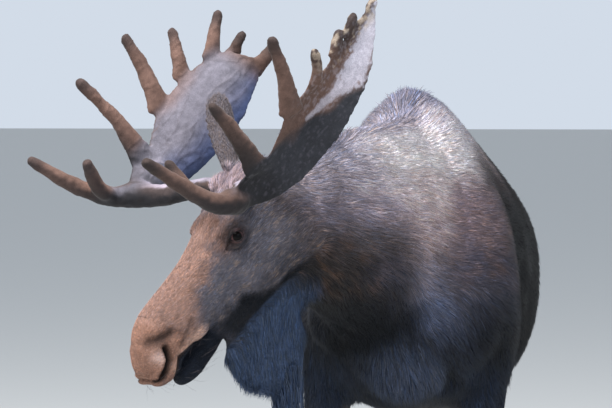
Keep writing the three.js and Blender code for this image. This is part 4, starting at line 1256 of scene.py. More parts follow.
def muzzle_markings(c, f, s, u, cloud):
    """Tan nose, brown smudges behind it, and the pale line of the upper lip."""
    c = mix(c, NOSE, smoothstep(0.315, 0.365, f - 0.4 * np.maximum(u, -0.06)) * 0.75)
    smudge = smoothstep(0.1, 0.6, cloud) * smoothstep(0.16, 0.26, f) * smoothstep(0.0, -0.04, u)
    c = mix(c, BROW_BROWN, 0.20 * smudge)
    lip = line_distance(np.stack([f, u], -1), LIP_LINE)
    return mix(c, LIP, 0.7 * np.exp(-(lip / 0.016) ** 2) * smoothstep(0.03, 0.05, s))

def nostril_light_and_shade(c, f, s, u):
    """Painted shade above the wing of the nostril, a painted highlight on the wing, and painted shade
    round the hole.
    """
    # painted shade above the nostril's wing
    under = oval(f, u, (0.362, -0.030), (0.036, 0.020)) * smoothstep(0.02, 0.05, s)
    c = mix(c, BROW_BROWN * 0.7, 0.75 * under)
    # painted highlight on the bulge of the wing
    wing = oval(f, u, (0.405, -0.060), (0.017, 0.018)) * smoothstep(0.03, 0.06, s)
    c = mix(c, WING_HIGHLIGHT, 0.9 * wing)
    # painted shade round the nostril's hole
    hole = line_distance(np.stack([f, u], -1), CREASES["nostril"][2])
    return mix(c, BROW_BROWN * 0.6, 0.6 * np.exp(-(hole / 0.013) ** 2) * smoothstep(0.03, 0.05, s))

def eye_markings(c, f, s, u):
    """Dark skin round the eye, and a pink rim below and behind it."""
    eye = np.hypot(f / 1.15, u)
    near_eye = smoothstep(0.07, 0.09, s)
    above = 0.45 + 0.55 * smoothstep(-0.004, 0.008, u)
    c = mix(c, BLACK, smoothstep(0.029, 0.019, eye) * 0.9 * near_eye * above)
    c = mix(c, DARK * 1.2, smoothstep(0.052, 0.028, eye) * 0.55 * near_eye)
    rim = np.exp(-((eye - 0.0178) / 0.0024) ** 2) * smoothstep(0.006, -0.006, np.minimum(f, u))
    return mix(c, PINK, rim * near_eye * 0.45)

def face_markings_light_and_shade(points):
    """Cheek, tan bridge, poll, muzzle, jaw, painted shade on the lower lip, the
    nostrils' painted light and shade, and the skin of the eye, laid over one
    another and mottled by four sizes of noise."""
    h = to_head(points)
    f, s, u = h.T
    s = np.abs(s)
    grain = noise(h * [0.5, 1, 1], 0.012, 13)
    patch = noise(h, 0.05, 14)
    cloud = noise(h, 0.026, 18)
    salt = noise(h * [0.5, 1, 1], 0.0030, 17)
    ragged = 0.014 * patch + 0.014 * cloud + 0.018 * salt + 0.012 * grain
    top = smoothstep(-0.045, 0.040, u - np.interp(f, *TAN_EDGE) + ragged)
    c = CHEEK * (1 - 0.45 * smoothstep(-0.08, -0.19, u) * smoothstep(0.14, -0.02, f))[:, None]
    c = mix(c, UMBER * 0.6, smoothstep(-0.05, -0.18, f + 0.025 * patch + 0.025 * cloud) * 0.9)
    fleck = smoothstep(0.15, 0.6, salt + 0.5 * grain)
    c = mix(c, GOLD, 0.42 * fleck * (0.4 + 0.6 * smoothstep(-0.3, 0.5, cloud)))
    c = mix(c, BROW_BROWN, top * smoothstep(-0.06, 0.00, f))
    c = mix(c, BRIDGE, top * smoothstep(-0.01, 0.09, f + 0.025 * smoothstep(0.03, 0.0, s)))
    muzzle = smoothstep(0.15, 0.27, f + 0.02 * patch + 0.35 * u)
    c = mix(c, BRIDGE, muzzle * smoothstep(-0.145, -0.100, u))
    c = mix(c, POLL, smoothstep(-0.05, -0.10, f) * smoothstep(0.035, 0.070, u))
    c = mix(c, BROW_BROWN, 0.75 * oval(f, u, (0.035, 0.002), (0.050, 0.030)) * smoothstep(0.05, 0.07, s))
    c = muzzle_markings(c, f, s, u, cloud)
    jaw = smoothstep(0.022, -0.022, u - np.interp(f, *JAW_EDGE) + 0.016 * patch + 0.014 * cloud)
    c = mix(c, BLACK, jaw * smoothstep(0.30, 0.18, f) * 0.95)
    # painted shade on the lower lip, under the overhang of the upper lip
    lower_lip_shade = smoothstep(0.004, -0.004, u - np.interp(f, *LIP_EDGE))
    c = mix(c, BLUE_BLACK * 0.3, lower_lip_shade * smoothstep(0.20, 0.24, f) * smoothstep(0.425, 0.405, f))
    c = nostril_light_and_shade(c, f, s, u)
    c = eye_markings(c, f, s, u)
    return c * (1 + 0.15 * grain + 0.08 * patch + 0.20 * salt)[:, None]

print("level of the tan's edge 0.2 m ahead of the eye:", np.interp(0.2, *TAN_EDGE).round(3))

# %% Painted crease shade, head and ears
# How deep the painted shade is at the bottom of each crease
CREASE_SHADE_STRENGTH = {"mouth": 0.9, "nostril": 1.0, "nostril tail": 0.9, "over nostril": 0.6,
                "behind nostril": 0.35, "tear line": 0.4, "under eye": 0.4}
UNDER_HEAD = ([-0.20, -0.06, 0.06, 0.13, 0.30, 0.40], [-0.235, -0.245, -0.225, -0.215, -0.222, -0.225])

def painted_crease_shade(points):
    """Painted shade in the creases: each crease's strength times exp of minus 0.81 of
    the squared distance over its width, whichever crease gives most."""
    h = to_head(points)
    deep = np.zeros(len(h))
    for name, strength in CREASE_SHADE_STRENGTH.items():
        width, _, line = CREASES[name]
        d = line_distance(h[:, [0, 2]], line) / width
        deep = np.maximum(deep, strength * np.exp(-(d * 0.9) ** 2))
    return deep * smoothstep(0.03, 0.05, np.abs(h[:, 1]))

def head_share(points):
    """One on the head, nought on the neck, bell and body."""
    f, s, u = to_head(points).T
    inside = smoothstep(-0.215, -0.165, f) * smoothstep(0.150, 0.135, np.abs(s))
    return inside * smoothstep(-0.006, 0.009, u - np.interp(f, *UNDER_HEAD)) * smoothstep(0.135, 0.125, u)

def ear_mask(points, name):
    """One on an ear past its root: near the line from root to bend to tip, and some
    way along it."""
    root, bend, tip, _ = EARS[name]
    line = smooth_rows([mirrored(p, SIDES[name]) for p in (root, bend, tip)], np.linspace(0, 2, 24))
    d = np.linalg.norm(to_head(points)[:, None] - line[None], axis=2)
    along = d.argmin(1) / (len(line) - 1)
    return smoothstep(0.08, 0.07, d.min(1)) * smoothstep(0.06, 0.14, along)

def ear_share(points):
    """The greater of the two ears' masks, behind the brow only."""
    share = np.zeros(len(points))
    behind = to_head(points)[:, 0] < -0.17
    for name in EARS:
        share[behind] = np.maximum(share[behind], ear_mask(points[behind], name))
    return share

print("creases with dark skin:", len(CREASE_SHADE_STRENGTH))

# %% Colour the hide
HIDE_SHADE = 0.75  # the hide is darker than the hair on it

def coat_colour(points, normal):
    """Body, then head, painted shade in the creases and ears, each laid over by its own share."""
    c = body_markings_and_shade(points, normal)
    head = head_share(points)
    c = mix(c, face_markings_light_and_shade(points), head)
    # painted shade at the bottom of the head's creases
    c = mix(c, BLACK * 0.6, painted_crease_shade(points) * head)
    shell = EAR_GREY * (1 + 0.12 * noise(points, 0.015, 15))[:, None]
    c = mix(c, shell, ear_share(points))
    return np.clip(c, 0.002, 0.9)

hide_points, hide_normals = points_of(skin.data), normals_of(skin.data)
set_colour(skin.data, "coat", coat_colour(hide_points, hide_normals) * HIDE_SHADE)
print("hide coloured at", len(hide_points), "points")

# %% [markdown]
# ## Lie of the coat
# Hair lies back from the nose over the head, along the neck, back and down over
# the trunk, and straight down the legs, the bell and the tail. At every root the
# way is laid flat on the hide and then turned a little by slow noise, which makes
# neighbouring locks run together and part.

# %% Ways of the hair
def lie_on_head(h):
    """Back from the nose, and down and outward on the cheeks."""
    f, s, u = h.T
    outward_lie = 0.25 * np.sign(s) * smoothstep(0.0, 0.05, np.abs(s))
    return np.stack([-1 + 0 * f, outward_lie, 0.15 - 0.30 * smoothstep(0.05, -0.05, u)], -1) @ HEAD_AXES

def lie_of_coat(points, normal):
    """The ways of the parts mixed by their shares, laid flat by taking away what
    stands along the normal, and turned by two sizes of noise."""
    p = points - HUMP
    x, y, z = p.T
    low = smoothstep(1.45, 1.05, z)
    neck = np.stack([0.42 + 0 * y, 0.80 + 0 * y, -0.28 - 0.8 * low], -1)
    trunk = np.stack([0.10 * x, 0.90 - 0.35 * low, -0.34 - 0.65 * low], -1)
    way = mix(neck, trunk, smoothstep(-0.30, 0.05, y))
    way = mix(way, np.array([0, 0.12, -1.0]), smoothstep(1.05, 0.80, z))
    way = mix(way, np.array([0.05, 0.05, -1.0]), bell_share(p))
    way = mix(way, np.array([0, 0.1, -1.0]), smoothstep(1.36, 1.40, y) * smoothstep(0.07, 0.05, np.abs(x)))
    way = mix(way, lie_on_head(to_head(points)), head_share(points))
    for name, (root, _, tip, _) in EARS.items():
        along = unit(mirrored(tip, SIDES[name]) - mirrored(root, SIDES[name])) @ HEAD_AXES
        way = mix(way, along, ear_mask(points, name))
    way = unit(way - (way * normal).sum(1, keepdims=True) * normal)
    turn = 0.30 * noise(p, 0.11, 21) + 0.30 * noise(p, 0.035, 22)
    return unit(way + np.cross(normal, way) * turn[:, None])

middle_way = lie_of_coat(HUMP[None] + [[0.3, 0.5, 1.3]], np.array([[1.0, 0, 0]]))
print("hair on the flank points", middle_way.round(2).tolist())

# %% Zones
# zone: tufts per square metre, length, width, rise of the tip, rings of a lock
ZONES = {
    "muzzle": (210000, 0.0055, 0.0012, 0.16, 1),
    "face": (165000, 0.0110, 0.0013, 0.16, 1),
    "cheek": (130000, 0.0160, 0.0017, 0.15, 1),
    "poll": (110000, 0.0240, 0.0020, 0.20, 1),
    "ear": (110000, 0.0120, 0.0017, 0.16, 1),
    "neck": (84000, 0.0370, 0.0020, 0.17, 1),
    "shoulder": (74000, 0.0380, 0.0022, 0.15, 1),
    "flank": (25000, 0.0420, 0.0040, 0.15, 1),
    "belly": (18000, 0.0500, 0.0050, 0.20, 1),
    "brisket": (60000, 0.0480, 0.0030, 0.16, 1),
    "thigh": (34000, 0.0300, 0.0036, 0.14, 1),
    "shank": (48000, 0.0140, 0.0026, 0.16, 1),
    "pastern": (60000, 0.0200, 0.0028, 0.22, 1),
    "bell": (104000, 0.0450, 0.0021, 0.13, 2),
    "tail": (60000, 0.0500, 0.0034, 0.18, 1),
}
ZONE_NAMES = list(ZONES)

def zone_of(points, normal):
    """Number of the zone that each point lies in; the later test wins."""
    p = points - HUMP
    x, y, z = p.T
    f, _, u = to_head(points).T
    zone = np.full(len(p), ZONE_NAMES.index("flank"))
    def put(name, where):
        zone[where] = ZONE_NAMES.index(name)
    underneath = normal[:, 2] < -0.3
    top_of_head = (f < -0.04) & (u > 0.02)
    head = head_share(points) > 0.5
    put("belly", (z < 1.0) & underneath)
    put("shoulder", (y < 0.42) & (z > 1.15))
    put("neck", y < -0.16)
    put("brisket", (y < 0.10) & (z < 1.17) & (z > 0.85) & (normal[:, 1] < 0.3))
    limb = (z < 1.0) & ~(underneath & (z > 0.8))
    put("thigh", limb & ~((y < 0.10) & (z > 0.9) & (np.abs(x) < 0.16)))
    put("shank", z < 0.70)
    put("pastern", z < 0.15)
    put("bell", bell_share(p) > 0.5)
    put("tail", (y > 1.37) & (np.abs(x) < 0.06))
    put("poll", head & top_of_head)
    put("cheek", head & ~top_of_head)
    put("face", head & (f > 0.02) & (f < 0.34))
    put("face", head & (np.hypot(f, u) < 0.06))
    put("muzzle", head & (f >= 0.34))
    put("ear", ear_share(points) > 0.5)
    return zone

print("zones:", ", ".join(ZONE_NAMES))

# %% [markdown]
# ## Roots
# Roots are strewn over the hide's triangles, each triangle taking its share by
# area times the density of its zone. The random numbers are seeded, so the coat
# comes out the same every time.

# %% Strew roots
def triangles_of(mesh):
    """The three point numbers of every triangle of the mesh."""
    mesh.calc_loop_triangles()
    tri = np.empty(len(mesh.loop_triangles) * 3, np.int32)
    mesh.loop_triangles.foreach_get("vertices", tri)
    return tri.reshape(-1, 3)

def areas_of(corner):
    """Half the length of the cross product of two sides."""
    return np.linalg.norm(np.cross(corner[:, 1] - corner[:, 0], corner[:, 2] - corner[:, 0]), axis=1) / 2

def strew(points, normals, tri, want):
    """Random places, each in a triangle drawn in proportion to how many it should
    bear, and at random shares of its three corners."""
    count = int(want.sum())
    chosen = np.searchsorted(np.cumsum(want) / want.sum(), rng.random(count))
    chosen = np.minimum(chosen, len(tri) - 1)
    a, b = rng.random(count), rng.random(count)
    flip = a + b > 1
    a, b = np.where(flip, 1 - a, a), np.where(flip, 1 - b, b)
    share = np.stack([1 - a - b, a, b], -1)[..., None]
    place = (points[tri[chosen]] * share).sum(1)
    normal = unit((normals[tri[chosen]] * share).sum(1))
    return place, normal, chosen

tri = triangles_of(skin.data)
tri_area = areas_of(hide_points[tri])
tri_middle = hide_points[tri].mean(1)
tri_normal = unit(hide_normals[tri].mean(1))
tri_zone = zone_of(tri_middle, tri_normal)
want = tri_area * np.array([ZONES[n][0] for n in ZONE_NAMES])[tri_zone]
for number, name in enumerate(ZONE_NAMES):
    here = tri_zone == number
    print(f"  {name}: {tri_area[here].sum():.3f} m2, {want[here].sum():.0f} tufts")
roots, root_normals, chosen = strew(hide_points, hide_normals, tri, want)
root_zone = tri_zone[chosen]

# %% Keep the eyes and creases bare
# hair stops where the painted crease shade passes this share
BARE = 0.75  # how dark a crease is where hair stops
clear = np.ones(len(roots), bool)
for side in SIDES.values():
    centre, axes = eye_axes(side)
    x, y, out = ((roots - centre) @ axes.T).T
    clear &= ~((np.abs(x) < 0.024) & (np.abs(y) < 0.0155) & (np.hypot(x / 1.35, y) < 0.0155) & (out > 0))
clear &= painted_crease_shade(roots) * head_share(roots) < BARE
roots, root_normals, root_zone = roots[clear], root_normals[clear], root_zone[clear]
print("roots:", len(roots))

# %% [markdown]
# ## Locks
# A lock is a thin three-sided spike, closed at both ends: flat where it lies on
# the hide and drawn out to a point. Short hair has one ring and a tip. Long hair
# has more rings, so that it can bow under its own weight.

# %% Chart of the hide
PATCH = 0.003  # size of a lock's own patch of the chart
EDGE, HALF, UPPER = 0.02, 0.46, 0.52  # margin, breadth and height of a quarter, foot of the upper half
LEG_STEP, LEG_BREADTH, LEG_TOP = 0.24, 0.22, 0.95

def round_share(across, ahead):
    """Angle of a point about a line, as a share of a full turn."""
    return np.arctan2(across, ahead) / (2 * np.pi) + 0.5

def chart_place(points):
    """A root's place on the unwrapped hide: along the part and around it. Head
    and trunk unroll round their own middle lines, each leg round its shaft."""
    p = points - HUMP
    f, s, up = to_head(points).T
    x, y, z = p.T
    u = UPPER + HALF * round_share(s, up + 0.07)
    v = UPPER + HALF * np.clip((f + 0.36) / 0.84, 0, 1)
    body = head_share(points) + ear_share(points) < 0.5
    u = np.where(body, EDGE + HALF * round_share(x, z - 1.25), u)
    v = np.where(body, UPPER + HALF * np.clip((y + 0.75) / 2.25, 0, 1), v)
    limb = body & (z < LEG_TOP) & (np.abs(x) > 0.05)
    for column, (end, side) in enumerate(STANCE):
        here = limb & ((y < 0.45) == (end == "fore")) & (np.sign(x) == side)
        table = leg_table(end, side)[::-1]
        cx, cy = (np.interp(z[here], table[:, 2], table[:, k]) for k in (0, 1))
        u[here] = EDGE + LEG_STEP * column + LEG_BREADTH * round_share(y[here] - cy, x[here] - cx)
        v[here] = EDGE + HALF * z[here] / LEG_TOP
    return np.stack([u, v], -1)

print("legs on the chart:", len(STANCE))

# %% Grow locks
def grow(root, normal, way, length, width, rise, rings, droop=0.0, sink=0.3):
    """Corners of every lock. Its middle line runs length * t along the way and
    rises by rise * t less droop * t squared; its width swells and then thins."""
    across = np.cross(normal, way)
    t = np.linspace(0, 1, rings + 1)[:-1]
    wide = np.array([1.0]) if rings == 1 else np.interp(t, [0, 0.4, 0.7, 1], [0.75, 1.0, 0.75, 0.1])
    curl = 0.12 * rng.standard_normal(len(root))
    def middle(k):
        up = rise * k - droop * k * k
        return (root - normal * (width * sink)[:, None] + way * (length * k)[:, None]
                + normal * (length * up)[:, None] + across * (length * curl * k * k)[:, None])
    half = width / 2
    corners = []
    for k, w in zip(t, wide):
        m = middle(k)
        corners += [m + across * (half * w)[:, None], m - across * (half * w)[:, None],
                    m + normal * (half * w * 0.75)[:, None]]
    corners.append(middle(1.0))
    return np.stack(corners, 1)

def lock_faces(rings):
    """Triangles of one lock: the root's lid, the walls between rings, and the tip."""
    faces = [[0, 2, 1]] if rings else []
    for k in range(rings - 1):
        a = 3 * k
        for i, j in ((0, 1), (1, 2), (2, 0)):
            faces += [[a + i, a + j, a + 3 + j], [a + i, a + 3 + j, a + 3 + i]]
    a = 3 * (rings - 1)
    faces += [[a + i, a + j, a + 3] for i, j in ((0, 1), (1, 2), (2, 0))]
    return np.array(faces)

def locks_to_object(name, corners, colours, chart, rings):
    """One object of many locks, its arrays written straight in. Each lock takes one
    small patch of the chart: its corners step across it."""
    count, each = corners.shape[:2]
    tri = lock_faces(rings)[:, ::-1]
    loops = (tri[None] + (np.arange(count) * each)[:, None, None]).reshape(-1)
    obj = object_of_arrays(name, corners.reshape(-1, 3), loops, np.full(len(loops) // 3, 3))
    set_colour(obj.data, "coat", colours.reshape(-1, 3))
    step = np.stack([np.linspace(0, PATCH, each), np.tile([0, PATCH, PATCH / 2], each)[:each]], -1)
    uv = chart[:, None] + step[None]
    layer = obj.data.uv_layers.new(name="OFBake")
    layer.data.foreach_set("uv", uv.reshape(-1, 2)[loops].astype(np.float32).ravel())
    return obj

def lock_colours(root, normal, rings, tip_gain, spread):
    """Colour of every corner: the marking at the root, darker below and paler at
    the tip, and every lock a little lighter or darker than its neighbours."""
    base = coat_colour(root, normal)
    base = base * (1 + 0.10 * rng.standard_normal((len(root), 1)) * [1, 0.1, -1])
    lightness = np.exp(spread * rng.standard_normal(len(root)))
    t = np.append(np.repeat(np.linspace(0, 1, rings + 1)[:-1], 3), 1.0)
    gain = 0.72 + (tip_gain - 0.72) * t
    return np.clip(base[:, None] * (lightness[:, None] * gain)[..., None], 0.0015, 0.92)

print("triangles of a lock with one, two and three rings:", [len(lock_faces(k)) for k in (1, 2, 3)])

# %% The coat
MOST_TRIANGLES = 196000
coat_pieces = []

def add_piece(name, corners, colours, chart, rings):
    """Splits the locks from front to back into pieces under the limit."""
    each = len(lock_faces(rings))
    most = MOST_TRIANGLES // each
    order = np.argsort(corners[:, 0, 1], kind="stable")
    parts = -(-len(order) // most)
    for k, part in enumerate(np.array_split(order, parts)):
        label = name if parts == 1 else f"{name}_{k + 1}"
        obj = locks_to_object(label, corners[part], colours[part], chart[part], rings)
        coat_pieces.append(obj)

# Pieces: their zones, how much paler a tip is than the marking, how much locks
# differ, and the slot
GROUPS = {
    "coat_face": (["muzzle", "face"], 1.35, 0.34, "coat"),
    "coat_cheek": (["cheek", "poll"], 1.35, 0.38, "coat"),
    "coat_ear": (["ear"], 1.15, 0.16, "coat"),
    "coat_neck": (["neck"], 1.45, 0.36, "coat"),
    "coat_shoulder": (["shoulder"], 1.45, 0.36, "coat"),
    "coat_flank": (["flank", "belly"], 1.20, 0.28, "coat"),
    "coat_limb": (["thigh", "shank", "pastern"], 1.20, 0.25, "coat"),
    "hair_brisket": (["brisket"], 1.50, 0.35, "long_hair"),
    "hair_bell": (["bell"], 1.60, 0.26, "long_hair"),
    "hair_tail": (["tail"], 1.20, 0.25, "long_hair"),
}
ways = lie_of_coat(roots, root_normals)
for name, (zones, tip_gain, spread, slot) in GROUPS.items():
    for zone_name in zones:
        here = root_zone == ZONE_NAMES.index(zone_name)
        _, length, width, rise, rings = ZONES[zone_name]
        n = int(here.sum())
        length = length * (0.7 + 0.6 * rng.random(n))
        width = width * (0.75 + 0.5 * rng.random(n))
        rise = rise * (0.4 + 1.2 * rng.random(n))
        corners = grow(roots[here], root_normals[here], ways[here], length, width, rise, rings,
                       droop=0.12 if rings > 1 else 0.0)
        colours = lock_colours(roots[here], root_normals[here], rings, tip_gain, spread)
        add_piece(f"{name}_{zone_name}", corners, colours, chart_place(roots[here]), rings)
triangles = sum(len(o.data.polygons) for o in coat_pieces)
print("coat pieces:", len(coat_pieces), "with", triangles, "triangles")

# %% [markdown]
# ## Crest, lashes and whiskers
# The crest is the long dark hair along the top of neck and hump. It stands half
# up and breaks the outline. Lashes and whiskers are the same locks, thinner and
# placed along the lid and the lips.

# %% Crest
CREST_DENSITY, CREST_LENGTH, CREST_WIDTH = 42000, 0.046, 0.0021
x, y, z = (tri_middle - HUMP).T
keep = smoothstep(0.060, 0.010, np.abs(x - crest_line(y))) * (tri_normal[:, 2] > 0.35)
keep = keep * smoothstep(-0.62, -0.50, y) * smoothstep(0.20, 0.08, y) * (z > 1.5)
place, up, _ = strew(hide_points, hide_normals, tri, tri_area * keep * CREST_DENSITY)
n = len(place)
length = CREST_LENGTH * (0.5 + 0.9 * rng.random(n))
corners = grow(place, up, lie_of_coat(place, up), length, np.full(n, CREST_WIDTH),
               0.22 + 0.22 * rng.random(n), 3, droop=0.14)
colours = lock_colours(place, up, 3, 1.3, 0.34) * 0.8
add_piece("hair_crest", corners, colours, chart_place(place), 3)
print("crest locks:", n)

# %% The bell's long strand
STRAND_LOCKS, STRAND_LENGTH, STRAND_WIDTH = 1500, 0.100, 0.0023
STRAND_TOP, STRAND_SPREAD = np.array([-0.305, -0.600, 1.000]), np.array([0.044, 0.044, 0.075])
scatter = np.clip(rng.standard_normal((STRAND_LOCKS, 3)), -1.6, 1.6)
place = STRAND_TOP + STRAND_SPREAD * scatter * 0.6 + HUMP
away = unit((place - HUMP - STRAND_TOP) * [1, 1, 0] + 1e-6)
drop = unit(np.array([0.10, 0.04, -1.0]) - 0.10 * away)
length = STRAND_LENGTH * (0.45 + 0.75 * rng.random(STRAND_LOCKS))
corners = grow(place, away, drop, length, np.full(STRAND_LOCKS, STRAND_WIDTH),
               np.full(STRAND_LOCKS, 0.06), 3, droop=0.08)
colours = lock_colours(place, away, 3, 1.4, 0.22)
add_piece("hair_strand", corners, colours, chart_place(place), 3)
print("strand locks:", STRAND_LOCKS)

# %% Lashes and whiskers
LASHES, LASH_LENGTH, LASH_WIDTH = 46, 0.013, 0.0009
for name, side in SIDES.items():
    centre, axes = eye_axes(side)
    a = np.linspace(0.12, 0.86, LASHES) * np.pi + 0.03 * rng.standard_normal(LASHES)
    x, y = LID_LONG * np.cos(a), LID_UPPER * np.sin(a) ** 1.25
    z = np.sqrt((EYE_RADIUS + 0.0022) ** 2 - x * x - y * y)
    place = np.stack([x, y + 0.001, z], -1) @ axes + centre
    way = unit(np.stack([0.35 * np.cos(a), 0.25 + 0 * a, 0.9 + 0 * a], -1)) @ axes
    up = unit(np.stack([0 * a, 0.95 + 0 * a, -0.2 + 0 * a], -1)) @ axes
    length = LASH_LENGTH * (0.7 + 0.6 * rng.random(LASHES))
    corners = grow(place, up, way, length, np.full(LASHES, LASH_WIDTH), np.full(LASHES, -0.15), 2,
                   droop=-0.35, sink=0.0)
    colours = np.broadcast_to(BLACK, (*corners.shape[:2], 3))
    add_piece("lashes_" + name, corners, colours, chart_place(place), 2)

WHISKERS, WHISKER_LENGTH = 110, 0.030
f, _, u = to_head(roots).T
near_mouth = (f > 0.26) & (u < -0.09) & (head_share(roots) > 0.9)
picked = rng.choice(np.flatnonzero(near_mouth), WHISKERS, replace=False)
length = WHISKER_LENGTH * (0.5 + rng.random(WHISKERS))
corners = grow(roots[picked], root_normals[picked], ways[picked], length, np.full(WHISKERS, LASH_WIDTH),
               0.8 + 0.5 * rng.random(WHISKERS), 2, droop=0.3)
colours = np.broadcast_to(UMBER * 0.5, (*corners.shape[:2], 3))
add_piece("whiskers", corners, colours, chart_place(roots[picked]), 2)
print("lashes and whiskers set")

# %% [markdown]
# ## Velvet
# Velvet is brown and fuzzy where it has dried on the tines, dark and sleek on the
# outside of the beams, and blue-grey inside the palms, where it is thin over the
# veins, the blue partly a painted reflection of the sky. The left palm has worn
# pale along its upper edge. Painted shade darkens the undersides of the beams and
# brow tines, a painted lavender highlight lies on the beams' tops, and painted
# light lifts the far antler's tines.

# %% Velvet colours
# The palms' blue is partly a painted reflection of the sky; the lavender is a painted highlight on the
# beams and flecks on the worn palm; the darkest beam tone is dark velvet and painted shade.
VELVET_BROWN, VELVET_TIP, VELVET_DARK = shade(80, 61, 54), shade(44, 36, 35), shade(36, 37, 42)
BEAM_DARK_AND_SHADE, LAVENDER = shade(23, 23, 26), shade(146, 138, 152)
PALM_GREY, PALM_BLUE, WORN = shade(94, 91, 100), shade(64, 74, 106), shade(172, 170, 182)
GOLDEN = shade(158, 144, 128)
# Level of the worn line on the left palm at several places along it
WORN_LINE = np.array([[-0.67, 0.222], [-0.63, 0.200], [-0.55, 0.168], [-0.48, 0.145], [-0.40, 0.152],
                      [-0.30, 0.165]])
# Places along the palm, and the level there of the dark outer face's edge, the
# half-width of the worn band and its strength
DARK_EDGE = ([-0.66, -0.56, -0.48, -0.42, -0.30, -0.20, -0.10, 0.0],
             [0.100, 0.090, 0.100, 0.134, 0.150, 0.175, 0.200, 0.220])
WORN_WIDTH = ([-0.66, -0.55, -0.48, -0.40, -0.30], [0.020, 0.034, 0.036, 0.014, 0.006])
WORN_STRENGTH = ([-0.50, -0.40, -0.30], [0.75, 0.5, 0.35])

def worn_palm(c, f, u, inward, below_line, grain, patch, fleck):
    """The left palm's outer face: worn pale in a ragged band, flecked above it, and
    golden where the upper edge is thin."""
    outer = smoothstep(0.1, 0.5, -inward)
    d = line_distance(np.stack([f, u], -1), WORN_LINE) / np.interp(f, *WORN_WIDTH)
    worn = smoothstep(1.20, 0.65, d + 0.40 * fleck + 0.3 * grain)
    c = mix(c, WORN, worn * outer * np.interp(f, *WORN_STRENGTH))
    mottle = smoothstep(0.0, 0.5, fleck) * (1 - below_line) * outer * smoothstep(-0.26, -0.34, f)
    c = mix(c, WORN, mottle * smoothstep(0.28, 0.24, u) * 0.12)
    c = mix(c, LAVENDER, 0.06 * smoothstep(0.2, 0.7, fleck) * below_line * outer)
    edge = smoothstep(0.195, 0.215, u) * smoothstep(-0.38, -0.44, f) * smoothstep(-0.1, 0.4, grain + patch)
    return mix(c, GOLDEN, edge * 0.45)

def velvet_colour(points, normal, name):
    """Brown all over, then the dark outer face, the grey-blue inner one with its blue
    partly a painted reflection of the sky, the tines' dark tips, painted shade under
    the beam and brow tines, a painted highlight on the beam's top, painted light on
    the far antler's tines, and the veins."""
    side = SIDES[name]
    h = to_head(points) * [1, side, 1]
    f, s, u = h.T
    inward = -(normal @ LEFT) * side
    place = to_head(points)
    grain = noise(place, 0.010, 31)
    fleck = noise(place * [0.7, 1, 1], 0.0050, 33)
    patch = noise(place * [0.6, 1, 1], 0.045, 32)
    tine = smoothstep(0.20, 0.25, u + 0.01 * patch)
    inner = smoothstep(-0.15, 0.45, inward + 0.25 * patch) * (1 - tine)
    below_line = smoothstep(0.016, -0.016, u - np.interp(f, *DARK_EDGE) + 0.02 * patch)
    below_line = below_line * smoothstep(0.02, -0.06, f)
    c = np.broadcast_to(VELVET_BROWN, h.shape).copy()
    c = mix(c, VELVET_DARK, (1 - inner) * below_line)
    # grey-blue inside the palms, the blue partly a painted reflection of the sky
    palm_tone = mix(PALM_BLUE, PALM_GREY, smoothstep(0.05, 0.17, u + 0.02 * patch))
    blade = smoothstep(0.24, 0.29, s) * (smoothstep(-0.56, -0.48, f) if name == "right" else 1)
    c = mix(c, palm_tone, inner * blade)
    for path, _ in TINES[name]:
        d = np.linalg.norm(h - np.array(path[-1]) / 1000, axis=1)
        c = mix(c, VELVET_TIP, smoothstep(0.070, 0.012, d + 0.01 * patch) * 0.85)
    # painted shade on the undersides of the beam and brow tines
    below = smoothstep(0.45, -0.30, normal[:, 2] + 0.15 * patch) * smoothstep(-0.16, -0.08, f)
    c = mix(c, BEAM_DARK_AND_SHADE, below * (0.92 - 0.45 * smoothstep(0.20, 0.40, u)))
    # painted lavender highlight on the beam's upward faces
    ridge = smoothstep(0.45, 0.85, normal[:, 2]) * smoothstep(-0.20, -0.10, f) * smoothstep(0.20, 0.14, u)
    c = mix(c, LAVENDER, ridge * 0.7)
    if name == "right":
        root = smoothstep(0.24, 0.16, u) * smoothstep(-0.14, -0.06, f)
        # painted light: the far antler's tines are made lighter than the near one's
        c = mix(c, BEAM_DARK_AND_SHADE * 2, 0.7 * root * (1 - ridge)) * (1 + 0.35 * tine)[:, None]
    else:
        c = worn_palm(c, f, u, inward, below_line, grain, patch, fleck)
    c = mix(c, VELVET_TIP, 0.25 * vein_height(place) * inner)
    return np.clip(c * (1 + 0.18 * grain + 0.14 * patch + 0.09 * fleck)[:, None], 0.003, 0.9)

for name, antler in antlers.items():
    set_colour(antler.data, "velvet", velvet_colour(points_of(antler.data), normals_of(antler.data), name))
    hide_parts(*[f"antler_{name}_{part}" for part in ("beam", "brow", "palm")])
print("velvet coloured")

# %% [markdown]
# ## Finishes
# Each finish but the horn's starts from the colours already laid on the surface;
# the horn starts from one fixed colour. A shared group adds the fine mottling and
# the height for a bump, at the size the real thing shows it.

